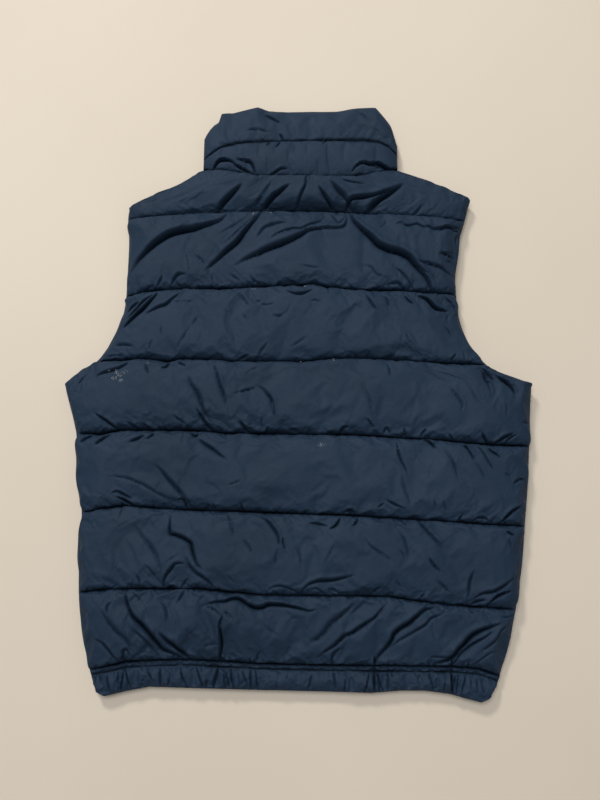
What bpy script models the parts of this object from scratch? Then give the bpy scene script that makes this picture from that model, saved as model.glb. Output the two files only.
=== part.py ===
"""Quilted puffer vest, laid face down on a table: the back lies on the two fronts.

+X is the wearer's right, +Y points to the collar and +Z up. The origin is the middle of the
garment's box on the table. Sizes are in millimetres until a mesh is written, which is in metres.
Heights h are measured up the garment from the middle of the hem's bottom edge.
"""

import math

import bmesh
import bpy

MM = 0.001
GARMENT = "puffer_vest"
HELPERS = "puffer_vest_helpers"

# Cloth and padding
SEAM_GAP = 0.3
LAYER_GAP = 0.6
EDGE_WALL = 2.5
STITCHED = 4.5
BACK_CREST = 21.0
COLLAR_CREST = 13.0
HEM_CREST = 6.0
PUFF_POWER = 0.62
TOP_ROLL = 28.0
UNDER_ROLL = 13.0
HEM_ROLL = 12.0
EDGE_ROLL = 9.0
FOLD_WALL = 5.0

# Level over the table at which the back's plain inside lies on the fronts: h, level
MEETING = (
    (32.0, 8.0),
    (90.0, 13.0),
    (500.0, 13.0),
    (590.0, 11.5),
)

# Sections of the body, hem to neck. Each runs from its left edge to its right edge through the
# centre of the back or of the fronts; bow says how late it leaves its centre height.
# kind, left x, left h, back h, front h, right x, right h, bow
SECTIONS = (
    ("line", -229.0, 21.0, 30.0, 30.0, 231.0, 19.0, 6.0),
    ("", -239.0, 55.0, 62.0, 62.0, 241.0, 54.0, 3.0),
    ("line", -245.0, 106.0, 105.0, 105.0, 250.0, 92.0, 2.0),
    ("", -247.0, 150.0, 150.0, 150.0, 259.0, 143.0, 2.0),
    ("line", -246.0, 196.0, 196.0, 196.0, 263.0, 185.0, 2.0),
    ("", -255.0, 238.0, 241.0, 241.0, 268.0, 231.0, 2.0),
    ("line", -257.0, 286.0, 288.0, 288.0, 271.0, 277.0, 2.0),
    ("", -263.0, 308.0, 311.0, 311.0, 272.0, 305.0, 2.0),
    ("", -269.0, 328.0, 330.0, 330.0, 274.0, 334.0, 2.0),
    ("corner", -272.5, 345.0, 346.0, 346.0, 278.0, 352.0, 2.0),
    ("corner", -256.0, 360.0, 361.0, 359.0, 238.0, 365.0, 2.0),
    ("line", -237.0, 372.0, 373.0, 373.0, 224.0, 373.0, 2.0),
    ("", -225.0, 390.0, 390.0, 390.0, 205.0, 395.0, 2.0),
    ("", -213.0, 412.0, 412.0, 412.0, 194.0, 420.0, 2.0),
    ("", -208.0, 434.0, 436.0, 434.0, 190.0, 441.0, 2.0),
    ("line", -206.5, 451.0, 466.0, 465.0, 189.0, 459.0, 2.0),
    ("", -206.0, 490.0, 495.0, 490.0, 187.5, 488.0, 2.0),
    ("", -206.0, 523.0, 530.0, 512.0, 193.0, 527.0, 2.0),
    ("line", -209.0, 549.0, 562.0, 532.0, 201.0, 552.0, 1.8),
    ("corner", -208.0, 566.0, 573.0, 538.0, 206.0, 574.0, 2.0),
    ("", -176.0, 582.5, 582.0, 543.0, 186.0, 589.0, 2.0),
    ("", -143.0, 598.0, 593.0, 547.0, 150.0, 604.0, 2.4),
    ("line", -118.0, 614.0, 607.0, 551.0, 119.0, 617.0, 3.0),
)

# Collar: its top edge over the back, x and h, and its stand at the centre front
COLLAR_TOP = (
    (-119.0, 655.0),
    (-112.0, 669.0),
    (-101.0, 678.0),
    (-84.0, 687.0),
    (-54.0, 697.0),
    (-40.0, 692.0),
    (-18.0, 691.0),
    (45.0, 693.0),
    (70.0, 697.0),
    (92.0, 699.0),
    (101.0, 687.0),
    (113.0, 671.0),
    (119.5, 650.0),
)
COLLAR_STAND = 78.0
COLLAR_LEAN = (4.0, 50.0)
FRONT_BOW = 2.2
STAND_BOW = 8.0
COLLAR_LINE = 0.54
COLLAR_ROWS = (0.0, 0.06, 0.18, 0.34, 0.47, 0.54, 0.61, 0.75, 0.88, 0.96, 1.0)

# Hem band: its bottom corners, and its gathers over the back
HEM_LEFT = (-220.0, -9.0)
HEM_RIGHT = (220.0, -10.0)
HEM_ROWS = (0.0, 0.16, 0.5, 0.8, 1.0)
# first x, last x, how many, depth
GATHERS = (
    (-216.0, -72.0, 16, 2.0),
    (-50.0, 58.0, 5, 0.8),
    (76.0, 218.0, 15, 2.0),
)

# Deepest folds of the back, as soft troughs
# start x, start h, bend x, bend h, end x, end h, half width, depth
FOLDS = (
    (-90.0, 551.0, -150.0, 533.0, -200.0, 482.0, 7.0, 9.0),
    (-47.0, 556.0, -77.0, 519.0, -112.0, 482.0, 7.0, 7.0),
    (13.0, 534.0, -25.0, 514.0, -73.0, 489.0, 6.0, 4.0),
    (60.0, 553.0, 88.0, 520.0, 131.0, 498.0, 8.0, 9.0),
    (131.0, 498.0, 146.0, 480.0, 158.0, 462.0, 7.0, 8.0),
    (137.0, 499.0, 160.0, 495.0, 184.0, 481.0, 6.0, 5.0),
    (57.0, 536.0, 30.0, 538.0, 2.0, 528.0, 6.0, 3.0),
    (119.0, 544.0, 157.0, 543.0, 192.0, 540.0, 7.0, 4.0),
    (123.0, 592.0, 98.0, 578.0, 70.0, 563.0, 8.0, 6.0),
    (-19.0, 588.0, -34.0, 576.0, -49.0, 562.0, 7.0, 4.0),
    (23.0, 585.0, 34.0, 575.0, 45.0, 563.0, 7.0, 4.0),
    (-129.0, 355.0, -113.0, 318.0, -97.0, 292.0, 6.0, 4.0),
    (-140.0, 170.0, -115.0, 152.0, -92.0, 112.0, 6.0, 4.0),
    (-100.0, 94.0, -40.0, 92.0, 20.0, 89.0, 7.0, 6.0),
    (-187.0, 104.0, -172.0, 72.0, -117.0, 36.0, 8.0, 8.0),
    (-70.0, 88.0, -80.0, 72.0, -81.0, 34.0, 6.0, 7.0),
    (99.0, 98.0, 80.0, 66.0, 40.0, 40.0, 8.0, 6.0),
    (169.0, 91.0, 130.0, 70.0, 90.0, 34.0, 8.0, 8.0),
    (224.0, 79.0, 196.0, 57.0, 176.0, 34.0, 8.0, 7.0),
)

# Mesh steps
BACK_STEP = 13.5
FRONT_STEP = 26.0
COLLAR_STEP = 14.0
HEM_CLEAR = 31.0
UNDER_HEM_COLUMNS = 8
UNDER_COLLAR_COLUMNS = 3
TALL_ROWS = (0.0, 0.07, 0.2, 0.4, 0.6, 0.8, 0.93)
SHORT_ROWS = (0.0, 0.12, 0.37, 0.63, 0.88)
SHORT_BAFFLE = 60.0
LEAST_ROW = 4.0
TOP_STEPS = (0.0, 1.5, 5.0, 11.0, 19.0, 29.0)
UNDER_STEPS = (0.0, 1.5, 5.0, 13.0)
GATHER_STEPS = (0.25, 0.5, 0.75)

# Zip, closed to the top of the collar
ZIP_OPENING = 7.3
CHAIN_LEVEL = (6.0, 7.4)
CHAIN_HALF_WIDTH = 6.9
CHAIN_ENDS = (3.0, 627.0)
SLIDER_H = 614.0
SLIDER_SIZE = (9.0, 11.0)
PLATE = 1.8
POST = (2.4, 3.2)
POST_OFFSET = 2.2
PULL_AXIS_LEVEL = 2.7
ARCH_LEVEL = (0.5, 1.5)
ARCH_SIZE = (2.4, 8.4)
ARCH_FOOT = 1.1
PULL_THICK = 1.2
PULL_WIDTH = 8.0
PULL_LENGTH = 27.0
PULL_BAR = 1.1
PULL_WINDOW = (4.4, 7.0)
PULL_CORNER = 1.2
SMALL_BEVEL = 0.35

NAVY = (0.0168, 0.0335, 0.0584, 1.0)
DARK_NAVY = (0.0110, 0.0195, 0.0320, 1.0)
GUNMETAL = (0.10, 0.10, 0.11, 1.0)

HEM_LINE = SECTIONS[0]
NECK_LINE = SECTIONS[-1]
STITCHED_LINES = [row[3] for row in SECTIONS if row[0] == "line"]
CORNERS = [row[3] for row in SECTIONS if row[0] == "corner"]
LEFT_SIDE = [HEM_LEFT] + [row[1:3] for row in SECTIONS] + [COLLAR_TOP[0]]
RIGHT_SIDE = [HEM_RIGHT] + [row[5:7] for row in SECTIONS] + [COLLAR_TOP[-1]]

HALF_SEAM = SEAM_GAP / 2
HALF_LAYER = LAYER_GAP / 2


def quarter_round(distance, radius):
    """0 at an edge and 1 from one radius in, rising as a quarter circle does."""
    share = min(max(distance / radius, 0.0), 1.0)
    return math.sqrt(1.0 - (1.0 - share) ** 2)


def from_table(rows, key):
    """The second column of a sorted table at this value of its first, read linearly."""
    key = min(max(key, rows[0][0]), rows[-1][0])
    for low, high in zip(rows, rows[1:]):
        if key <= high[0]:
            break
    share = (key - low[0]) / (high[0] - low[0])
    return low[1] + share * (high[1] - low[1])


def segment_distance(x, h, start, end):
    dx, dh = end[0] - start[0], end[1] - start[1]
    share = ((x - start[0]) * dx + (h - start[1]) * dh) / (dx * dx + dh * dh)
    share = min(max(share, 0.0), 1.0)
    return math.hypot(x - start[0] - share * dx, h - start[1] - share * dh)


def side_distance(x, h):
    """Distance to the nearer side of the garment: side seam, armhole, shoulder or collar fold."""
    side = LEFT_SIDE if x < 0.0 else RIGHT_SIDE
    return min(segment_distance(x, h, a, b) for a, b in zip(side, side[1:]))


def meeting_level(h):
    return from_table(MEETING, h)


def bowed(x, left, centre_h, right, bow):
    """Height at x of a line from its left point to its right one through its centre height."""
    end = left if x < 0.0 else right
    return centre_h + (end[1] - centre_h) * abs(x / end[0]) ** bow


def back_line(section, x):
    return bowed(x, section[1:3], section[3], section[5:7], section[7])


def front_line(section, x):
    bow = FRONT_BOW if section[3] > STITCHED_LINES[-2] else section[7]
    return bowed(x, section[1:3], section[4], section[5:7], bow)


def section_at(back_h):
    """The section through this height of the back's centre line."""
    for low, high in zip(SECTIONS, SECTIONS[1:]):
        if back_h <= high[3]:
            break
    share = (back_h - low[3]) / (high[3] - low[3])
    return [""] + [a + share * (b - a) for a, b in zip(low[1:], high[1:])]


def row_heights():
    """Centre heights of the mesh rows, closest together beside the lines of stitches."""
    heights = list(CORNERS)
    for low, high in zip(STITCHED_LINES, STITCHED_LINES[1:]):
        shares = SHORT_ROWS if high - low < SHORT_BAFFLE else TALL_ROWS
        for share in shares:
            height = low + share * (high - low)
            if share == 0.0 or min(abs(height - c) for c in CORNERS) > LEAST_ROW:
                heights.append(height)
    return sorted(heights) + [STITCHED_LINES[-1]]


def puff(share):
    """0 at both ends of a baffle and 1 halfway."""
    return math.sin(math.pi * min(max(share, 0.0), 1.0)) ** PUFF_POWER


def baffle_puff(back_h):
    for low, high in zip(STITCHED_LINES, STITCHED_LINES[1:]):
        if back_h <= high:
            break
    return puff((back_h - low) / (high - low))


def fold_depth(x, h):
    """How far the deepest folds press the padding in here."""
    depth = 0.0
    for x0, h0, x1, h1, x2, h2, width, deep in FOLDS:
        near = min(
            segment_distance(x, h, (x0, h0), (x1, h1)),
            segment_distance(x, h, (x1, h1), (x2, h2)),
        )
        depth = max(depth, deep * math.exp(-((near / width) ** 2)))
    return depth


def even_places(start, end, count):
    return [start + (end - start) * k / (count + 1) for k in range(1, count + 1)]


def places(start, end, start_steps, end_steps, count):
    """Places from start to end: set steps in from each end, and count even ones between."""
    sign = 1.0 if end > start else -1.0
    first = [start + sign * step for step in start_steps]
    last = [end - sign * step for step in reversed(end_steps)]
    return first + even_places(first[-1], last[0], count) + last


def material(name, color, roughness, metallic):
    made = bpy.data.materials.new(name)
    made.use_nodes = True
    shader = made.node_tree.nodes["Principled BSDF"]
    shader.inputs["Base Color"].default_value = color
    shader.inputs["Roughness"].default_value = roughness
    shader.inputs["Metallic"].default_value = metallic
    made.diffuse_color = color
    return made


def add_object(name, work, finish):
    """Writes a bmesh in millimetres to a named object of the garment, in metres."""
    bmesh.ops.scale(work, vec=(MM, MM, MM), verts=work.verts)
    bmesh.ops.recalc_face_normals(work, faces=work.faces)
    mesh = bpy.data.meshes.new(name)
    work.to_mesh(mesh)
    work.free()
    mesh.shade_smooth()
    mesh.set_sharp_from_angle(angle=math.radians(50.0))
    mesh.materials.append(finish)
    made = bpy.data.objects.new(name, mesh)
    bpy.data.collections[GARMENT].objects.link(made)
    return made


def cloth_wall(name, columns, rows, outer, inner, finish):
    """A closed wall of cloth: a grid and its extruded copy, each point put in its place by one
    of the two functions of column and row. Flat stretches become single faces."""
    work = bmesh.new()
    bmesh.ops.create_grid(work, x_segments=columns - 1, y_segments=rows - 1, size=0.5)
    grown = bmesh.ops.extrude_face_region(work, geom=work.faces[:])
    copies = {v for v in grown["geom"] if isinstance(v, bmesh.types.BMVert)}
    for vert in work.verts:
        column = round((vert.co.x + 0.5) * (columns - 1))
        row = round((vert.co.y + 0.5) * (rows - 1))
        vert.co = outer(column, row) if vert in copies else inner(column, row)
    bmesh.ops.dissolve_limit(
        work, angle_limit=math.radians(0.03), verts=work.verts, edges=work.edges
    )
    bmesh.ops.triangulate(work, faces=[f for f in work.faces if len(f.verts) > 4])
    return add_object(name, work, finish)


def seam_shift(row, rows):
    """Half a seam gap in from the first and the last row of a piece."""
    if row == 0:
        return HALF_SEAM
    return -HALF_SEAM if row == rows - 1 else 0.0


def make_back(finish):
    heights = row_heights()
    rows = len(heights)
    middle = round((SECTIONS[0][5] - SECTIONS[0][1] - 2 * TOP_STEPS[-1]) / BACK_STEP)
    across = []
    for height in heights:
        section = section_at(height)
        across.append(places(section[1], section[5], TOP_STEPS, TOP_STEPS, middle))

    def plan(column, row):
        x = across[row][column]
        return x, back_line(section_at(heights[row]), x) + seam_shift(row, rows)

    def inner(column, row):
        x, h = plan(column, row)
        return x, h, meeting_level(h) + HALF_LAYER

    def outer(column, row):
        x, h = plan(column, row)
        crest = STITCHED + (BACK_CREST - STITCHED) * baffle_puff(heights[row])
        crest = max(crest - fold_depth(x, h), STITCHED)
        wall = EDGE_WALL + (crest - EDGE_WALL) * quarter_round(side_distance(x, h), TOP_ROLL)
        return x, h, meeting_level(h) + HALF_LAYER + wall

    return cloth_wall("back_panel", len(across[0]), rows, outer, inner, finish)


def underside(h, edge_distance):
    """Level of an outer side that rests on the table and rolls up to its edges."""
    edge = meeting_level(h) - HALF_LAYER - EDGE_WALL
    return edge * (1.0 - quarter_round(edge_distance, UNDER_ROLL))


def make_front(name, side, finish):
    """One front, from the zip at the centre to the side: side is -1 for the left, 1 for the right."""
    heights = row_heights()
    rows = len(heights)
    edge_column = 5 if side > 0 else 1
    middle = round((abs(SECTIONS[0][edge_column]) - 2 * UNDER_STEPS[-1]) / FRONT_STEP)
    across = []
    for height in heights:
        section = section_at(height)
        across.append(
            places(side * ZIP_OPENING, section[edge_column], UNDER_STEPS, UNDER_STEPS, middle)
        )

    def plan(column, row):
        x = across[row][column]
        return x, front_line(section_at(heights[row]), x) + seam_shift(row, rows)

    def inner(column, row):
        x, h = plan(column, row)
        return x, h, meeting_level(h) - HALF_LAYER

    def outer(column, row):
        x, h = plan(column, row)
        edge_distance = min(side_distance(x, h), abs(x) - ZIP_OPENING)
        return x, h, underside(h, edge_distance)

    return cloth_wall(name, len(across[0]), rows, outer, inner, finish)


def band_columns(left, right, top_between, under_between):
    """Columns of a flattened band, from the zip round its left fold, over the back and round
    its right fold to the zip again: pairs of on_top and place."""
    under_left = places(-ZIP_OPENING, left, UNDER_STEPS, TOP_STEPS, under_between)
    under_right = places(right, ZIP_OPENING, TOP_STEPS, UNDER_STEPS, under_between)
    over = [left + s for s in TOP_STEPS] + top_between + [right - s for s in reversed(TOP_STEPS)]
    columns = [(False, x) for x in under_left]
    columns += [(True, x) for x in over]
    return columns + [(False, x) for x in under_right]


def inside_fold(x, left, right):
    """The place inside a fold's wall for a column near it, and any other column's own place."""
    reach = TOP_STEPS[-1]
    from_fold = min(x - left, right - x)
    if from_fold >= reach:
        return x
    inward = FOLD_WALL + from_fold * (1.0 - FOLD_WALL / reach)
    return left + inward if x < 0.0 else right - inward


def make_collar(finish):
    left, right = COLLAR_TOP[0][0], COLLAR_TOP[-1][0]
    count = round((right - left - 2 * TOP_STEPS[-1]) / COLLAR_STEP)
    between = even_places(left + TOP_STEPS[-1], right - TOP_STEPS[-1], count)
    columns = band_columns(left, right, between, UNDER_COLLAR_COLUMNS)

    def front_limits(x):
        """Bottom and top edge of the fronts' collar."""
        fold = COLLAR_TOP[0] if x < 0.0 else COLLAR_TOP[-1]
        seam = front_line(NECK_LINE, x) + HALF_SEAM
        fold_stand = fold[1] - front_line(NECK_LINE, fold[0])
        stand = COLLAR_STAND + (fold_stand - COLLAR_STAND) * abs(x / fold[0]) ** STAND_BOW
        return seam, seam + stand

    def limits(on_top, x):
        if on_top:
            return back_line(NECK_LINE, x) + HALF_SEAM, from_table(COLLAR_TOP, x)
        return front_limits(x)

    def plain_side(on_top, x, h):
        """Level of the band's inside. Past the fronts' collar the back's comes down to the table."""
        if not on_top:
            return meeting_level(h) - HALF_LAYER
        past = (h - front_limits(x)[1] - COLLAR_LEAN[0]) / (COLLAR_LEAN[1] - COLLAR_LEAN[0])
        past = min(max(past, 0.0), 1.0)
        return (meeting_level(h) + HALF_LAYER) * (1.0 - past * past * (3.0 - 2.0 * past))

    def inner(column, row):
        on_top, x = columns[column]
        low, high = limits(on_top, x)
        h = low + COLLAR_ROWS[row] * (high - low)
        return inside_fold(x, left, right), h, plain_side(on_top, x, h)

    def outer(column, row):
        on_top, x = columns[column]
        low, high = limits(on_top, x)
        share = COLLAR_ROWS[row]
        h = low + share * (high - low)
        from_fold = min(x - left, right - x)
        if not on_top:
            return x, h, underside(h, min(from_fold, abs(x) - ZIP_OPENING, high - h))
        if share < COLLAR_LINE:
            raised = puff(share / COLLAR_LINE)
        else:
            raised = puff((share - COLLAR_LINE) / (1.0 - COLLAR_LINE) / 2.0)
        crest = STITCHED + (COLLAR_CREST - STITCHED) * raised
        roll = quarter_round(from_fold, TOP_ROLL) * quarter_round(high - h, EDGE_ROLL)
        return x, h, plain_side(True, x, h) + EDGE_WALL + (crest - EDGE_WALL) * roll

    return cloth_wall("collar", len(columns), len(COLLAR_ROWS), outer, inner, finish)


def gather_columns():
    """Columns of the gathered band over the back, a few to each gather."""
    found = []
    for first, last, count, _ in GATHERS:
        pitch = (last - first) / count
        for k in range(count):
            found += [first + (k + step) * pitch for step in (0.0,) + GATHER_STEPS]
        found.append(last)
    return found


def gather_depth(x, share):
    """Sink of the band between its gathers, uneven and deepest by the seam."""
    for first, last, count, depth in GATHERS:
        if first < x < last:
            phase = (x - first) / (last - first) * count
            uneven = 0.65 + 0.35 * math.sin(2.4 * math.floor(phase) + 0.1 * first)
            return depth * uneven * math.sin(math.pi * (phase % 1.0)) * (0.5 + 0.5 * share)
    return 0.0


def make_hem_band(finish):
    left, right = HEM_LINE[1], HEM_LINE[5]
    inside = [x for x in gather_columns() if left + HEM_CLEAR < x < right - HEM_CLEAR]
    columns = band_columns(left, right, inside, UNDER_HEM_COLUMNS)

    def plan(column, row):
        on_top, x = columns[column]
        share = HEM_ROWS[row]
        narrowed = x * (HEM_LEFT[0] / left + share * (1.0 - HEM_LEFT[0] / left))
        line = back_line if on_top else front_line
        low = bowed(x, (left, HEM_LEFT[1]), 0.0, (right, HEM_RIGHT[1]), HEM_LINE[7])
        high = line(HEM_LINE, x) - HALF_SEAM
        return on_top, narrowed, low + share * (high - low)

    def inner(column, row):
        on_top, x, h = plan(column, row)
        gap = HALF_LAYER if on_top else -HALF_LAYER
        return inside_fold(x, left, right), h, meeting_level(h) + gap

    def outer(column, row):
        on_top, x, h = plan(column, row)
        from_fold = min(columns[column][1] - left, right - columns[column][1])
        share = HEM_ROWS[row]
        from_edge = share * (HEM_LINE[3] - SEAM_GAP)
        if not on_top:
            return x, h, underside(h, min(from_fold, abs(x) - ZIP_OPENING, from_edge))
        crest = STITCHED + (HEM_CREST - STITCHED) * puff(share) - gather_depth(x, share)
        roll = quarter_round(from_fold, HEM_ROLL)
        return x, h, meeting_level(h) + HALF_LAYER + EDGE_WALL + (crest - EDGE_WALL) * roll

    return cloth_wall("hem_band", len(columns), len(HEM_ROWS), outer, inner, finish)


def box(name, low, high, finish):
    """A box between two corners, as a helper that a Boolean joins or cuts with."""
    work = bmesh.new()
    bmesh.ops.create_cube(work, size=1.0)
    for vert in work.verts:
        vert.co = [a + (c + 0.5) * (b - a) for a, b, c in zip(low, high, vert.co)]
    made = add_object(name, work, finish)
    bpy.data.collections[GARMENT].objects.unlink(made)
    bpy.data.collections[HELPERS].objects.link(made)
    made.hide_render = True
    made.display_type = "WIRE"
    return made


def slab(name, half_x, ends_h, levels, finish):
    """A box centred on the zip."""
    return box(name, (-half_x, ends_h[0], levels[0]), (half_x, ends_h[1], levels[1]), finish)


def combine(base, others, operation):
    for other in others:
        joined = base.modifiers.new(other.name, "BOOLEAN")
        joined.operation = operation
        joined.object = other
    return base


def to_garment(helper):
    """Turns a helper into a node of the garment."""
    bpy.data.collections[HELPERS].objects.unlink(helper)
    bpy.data.collections[GARMENT].objects.link(helper)
    helper.hide_render = False
    helper.display_type = "TEXTURED"
    return helper


def make_chain(finish):
    """The closed chain with its tape's edges, let through by the slider's post."""
    chain = slab("zip_chain", CHAIN_HALF_WIDTH, CHAIN_ENDS, CHAIN_LEVEL, finish)
    room = (POST[1] / 2 + SEAM_GAP, POST[0] / 2 + SEAM_GAP)
    post_h = SLIDER_H + POST_OFFSET
    cutter = slab(
        "post_opening",
        room[1],
        (post_h - room[0], post_h + room[0]),
        (CHAIN_LEVEL[0] - 1.0, CHAIN_LEVEL[1] + 1.0),
        finish,
    )
    return to_garment(combine(chain, [cutter], "DIFFERENCE"))


def make_slider(finish):
    """Two plates on a post that passes through the chain, and the arch that holds the pull."""
    half_x, half_h = SLIDER_SIZE[0] / 2, SLIDER_SIZE[1] / 2
    ends = (SLIDER_H - half_h, SLIDER_H + half_h)
    outer_top = CHAIN_LEVEL[0] - SEAM_GAP
    inner_base = CHAIN_LEVEL[1] + SEAM_GAP
    post_h = SLIDER_H + POST_OFFSET
    arch = (SLIDER_H - ARCH_SIZE[1] / 2, SLIDER_H + ARCH_SIZE[1] / 2)
    levels = (outer_top - PLATE, outer_top)
    slider = slab("zip_slider", half_x, ends, levels, finish)
    half_arch = ARCH_SIZE[0] / 2
    joined = [
        slab("slider_inner_plate", half_x, ends, (inner_base, inner_base + PLATE), finish),
        slab(
            "slider_post",
            POST[0] / 2,
            (post_h - POST[1] / 2, post_h + POST[1] / 2),
            (outer_top - PLATE / 2, inner_base + PLATE / 2),
            finish,
        ),
        slab("arch_bar", half_arch, arch, ARCH_LEVEL, finish),
    ]
    for name, start in (("arch_low_foot", arch[0]), ("arch_high_foot", arch[1] - ARCH_FOOT)):
        foot_levels = (ARCH_LEVEL[0] + SMALL_BEVEL, outer_top - PLATE / 2)
        joined.append(slab(name, half_arch, (start, start + ARCH_FOOT), foot_levels, finish))
    combine(slider, joined, "UNION")
    return to_garment(slider)


def cut_corner_spline(curve, half_x, low_h, high_h, corner):
    """A closed rectangle with cut corners in a flat curve, centred on x = 0."""
    spline = curve.splines.new("BEZIER")
    corners = (
        (half_x, low_h, 1, 1),
        (half_x, high_h, 1, -1),
        (-half_x, high_h, -1, -1),
        (-half_x, low_h, -1, 1),
    )
    spline.bezier_points.add(2 * len(corners) - 1)
    spline.use_cyclic_u = True
    for index, (x, h, across, along) in enumerate(corners):
        beside = (x - across * corner, h)
        above = (x, h + along * corner)
        pair = (beside, above) if index % 2 == 0 else (above, beside)
        for offset, point in enumerate(pair):
            knot = spline.bezier_points[2 * index + offset]
            knot.co = (point[0] * MM, point[1] * MM, 0.0)
            knot.handle_left_type = "VECTOR"
            knot.handle_right_type = "VECTOR"


def make_pull(finish):
    """Flat pull tab with a window: the bar above the window turns inside the slider's arch."""
    curve = bpy.data.curves.new("zip_pull", "CURVE")
    curve.dimensions = "2D"
    curve.fill_mode = "BOTH"
    curve.resolution_u = 1
    curve.extrude = PULL_THICK / 2 * MM
    bar_half = PULL_BAR / 2
    cut_corner_spline(curve, PULL_WIDTH / 2, bar_half - PULL_LENGTH, bar_half, PULL_CORNER)
    cut_corner_spline(
        curve,
        PULL_WINDOW[0] / 2,
        -bar_half - PULL_WINDOW[1],
        -bar_half,
        PULL_CORNER / 2,
    )
    outline = bpy.data.objects.new("zip_pull_outline", curve)
    bpy.data.collections[GARMENT].objects.link(outline)
    bpy.context.view_layer.update()
    flat = bpy.data.meshes.new_from_object(
        outline.evaluated_get(bpy.context.evaluated_depsgraph_get())
    )
    bpy.data.objects.remove(outline)
    work = bmesh.new()
    work.from_mesh(flat)
    bmesh.ops.remove_doubles(work, verts=work.verts, dist=1e-6)
    bmesh.ops.scale(work, vec=(1.0 / MM, 1.0 / MM, 1.0 / MM), verts=work.verts)
    pull = add_object("zip_pull", work, finish)
    pull.location = (0.0, SLIDER_H * MM, PULL_AXIS_LEVEL * MM)
    return pull


def collection(name):
    made = bpy.data.collections.new(name)
    bpy.context.scene.collection.children.link(made)
    return made


def stand_on_origin(objects):
    """Moves every piece so that the middle of the garment's box on the table is the origin."""
    bpy.context.view_layer.update()
    corners = [o.matrix_world @ v.co for o in objects for v in o.data.vertices]
    middle = [
        (min(c[axis] for c in corners) + max(c[axis] for c in corners)) / 2 for axis in (0, 1)
    ]
    for made in objects:
        made.location.x -= middle[0]
        made.location.y -= middle[1]
    print("origin at x, h:", [round(value / MM, 3) for value in middle])


def main():
    for old in list(bpy.data.objects):
        bpy.data.objects.remove(old)
    collection(GARMENT)
    collection(HELPERS)
    nylon = material("navy_nylon", NAVY, 0.42, 0.0)
    tape = material("navy_tape", DARK_NAVY, 0.7, 0.0)
    metal = material("gunmetal", GUNMETAL, 0.35, 0.9)
    make_back(nylon)
    make_front("front_left", -1, nylon)
    make_front("front_right", 1, nylon)
    make_collar(nylon)
    make_hem_band(nylon)
    make_chain(tape)
    make_slider(metal)
    make_pull(metal)
    stand_on_origin(list(bpy.data.objects))


main()
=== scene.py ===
"""Looks of a quilted puffer vest that lies face down: shells, padding, seams, zip, floor and light.

Lengths in the tables are millimetres. x is across the garment, h is up it from the middle of the
hem's bottom edge, and z is up from the floor. A piece's mesh is in metres, in the frame's place.
"""

import math

import bpy
import numpy as np
from mathutils import Matrix, Vector


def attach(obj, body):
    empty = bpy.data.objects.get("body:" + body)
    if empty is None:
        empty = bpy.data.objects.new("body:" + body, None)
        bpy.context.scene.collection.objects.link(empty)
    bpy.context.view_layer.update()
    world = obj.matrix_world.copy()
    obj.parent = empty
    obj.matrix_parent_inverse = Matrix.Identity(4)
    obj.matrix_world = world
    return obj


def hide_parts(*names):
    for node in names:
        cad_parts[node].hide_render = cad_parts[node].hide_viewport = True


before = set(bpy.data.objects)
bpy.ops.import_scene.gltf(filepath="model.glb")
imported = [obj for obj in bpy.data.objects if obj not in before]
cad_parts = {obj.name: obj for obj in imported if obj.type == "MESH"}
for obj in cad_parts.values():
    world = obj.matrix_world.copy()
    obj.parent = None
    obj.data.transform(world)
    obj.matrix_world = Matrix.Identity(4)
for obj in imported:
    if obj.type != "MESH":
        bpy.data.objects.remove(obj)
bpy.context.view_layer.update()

MM = 0.001
ORIGIN = (2.75, 344.432)

# Half the gap between the back and the fronts, how much wider than its solids the cloth lies, and
# half the gap at a seam
LAYER_HALF = 0.3
SPREAD = 1.006
SEAM_HALF = 0.15

# Level over the floor at which the back lies on the fronts: h, level
MEETING = np.array(((32.0, 8.0), (90.0, 13.0), (500.0, 13.0), (590.0, 11.5)))

# Sections of the body, hem to neck: left x, left h, height of the back's centre, height of the
# fronts' centre, right x, right h, and the bow of the line between them
SECTIONS = np.array((
    (-229.0, 21.0, 30.0, 30.0, 231.0, 19.0, 6.0),
    (-239.0, 55.0, 62.0, 62.0, 241.0, 54.0, 3.0),
    (-245.0, 106.0, 105.0, 105.0, 250.0, 92.0, 2.0),
    (-247.0, 150.0, 150.0, 150.0, 259.0, 143.0, 2.0),
    (-246.0, 196.0, 196.0, 196.0, 263.0, 185.0, 2.0),
    (-255.0, 238.0, 241.0, 241.0, 268.0, 231.0, 2.0),
    (-257.0, 286.0, 288.0, 288.0, 271.0, 277.0, 2.0),
    (-263.0, 308.0, 311.0, 311.0, 272.0, 305.0, 2.0),
    (-269.0, 328.0, 330.0, 330.0, 274.0, 334.0, 2.0),
    (-272.5, 345.0, 346.0, 346.0, 278.0, 352.0, 2.0),
    (-256.0, 360.0, 361.0, 359.0, 238.0, 365.0, 2.0),
    (-237.0, 372.0, 373.0, 373.0, 224.0, 373.0, 2.0),
    (-225.0, 390.0, 390.0, 390.0, 205.0, 395.0, 2.0),
    (-213.0, 412.0, 412.0, 412.0, 194.0, 420.0, 2.0),
    (-208.0, 434.0, 436.0, 434.0, 190.0, 441.0, 2.0),
    (-206.5, 451.0, 466.0, 465.0, 189.0, 459.0, 2.0),
    (-206.0, 490.0, 495.0, 490.0, 187.5, 488.0, 2.0),
    (-206.0, 523.0, 530.0, 512.0, 193.0, 527.0, 2.0),
    (-209.0, 549.0, 562.0, 532.0, 201.0, 552.0, 1.8),
    (-208.0, 566.0, 573.0, 538.0, 208.5, 581.5, 2.0),
    (-176.0, 583.0, 582.0, 543.0, 186.0, 592.0, 2.0),
    (-143.0, 598.0, 593.0, 547.0, 150.0, 607.0, 2.4),
    (-118.0, 614.0, 604.5, 551.0, 119.0, 617.0, 3.0),
))

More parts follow.
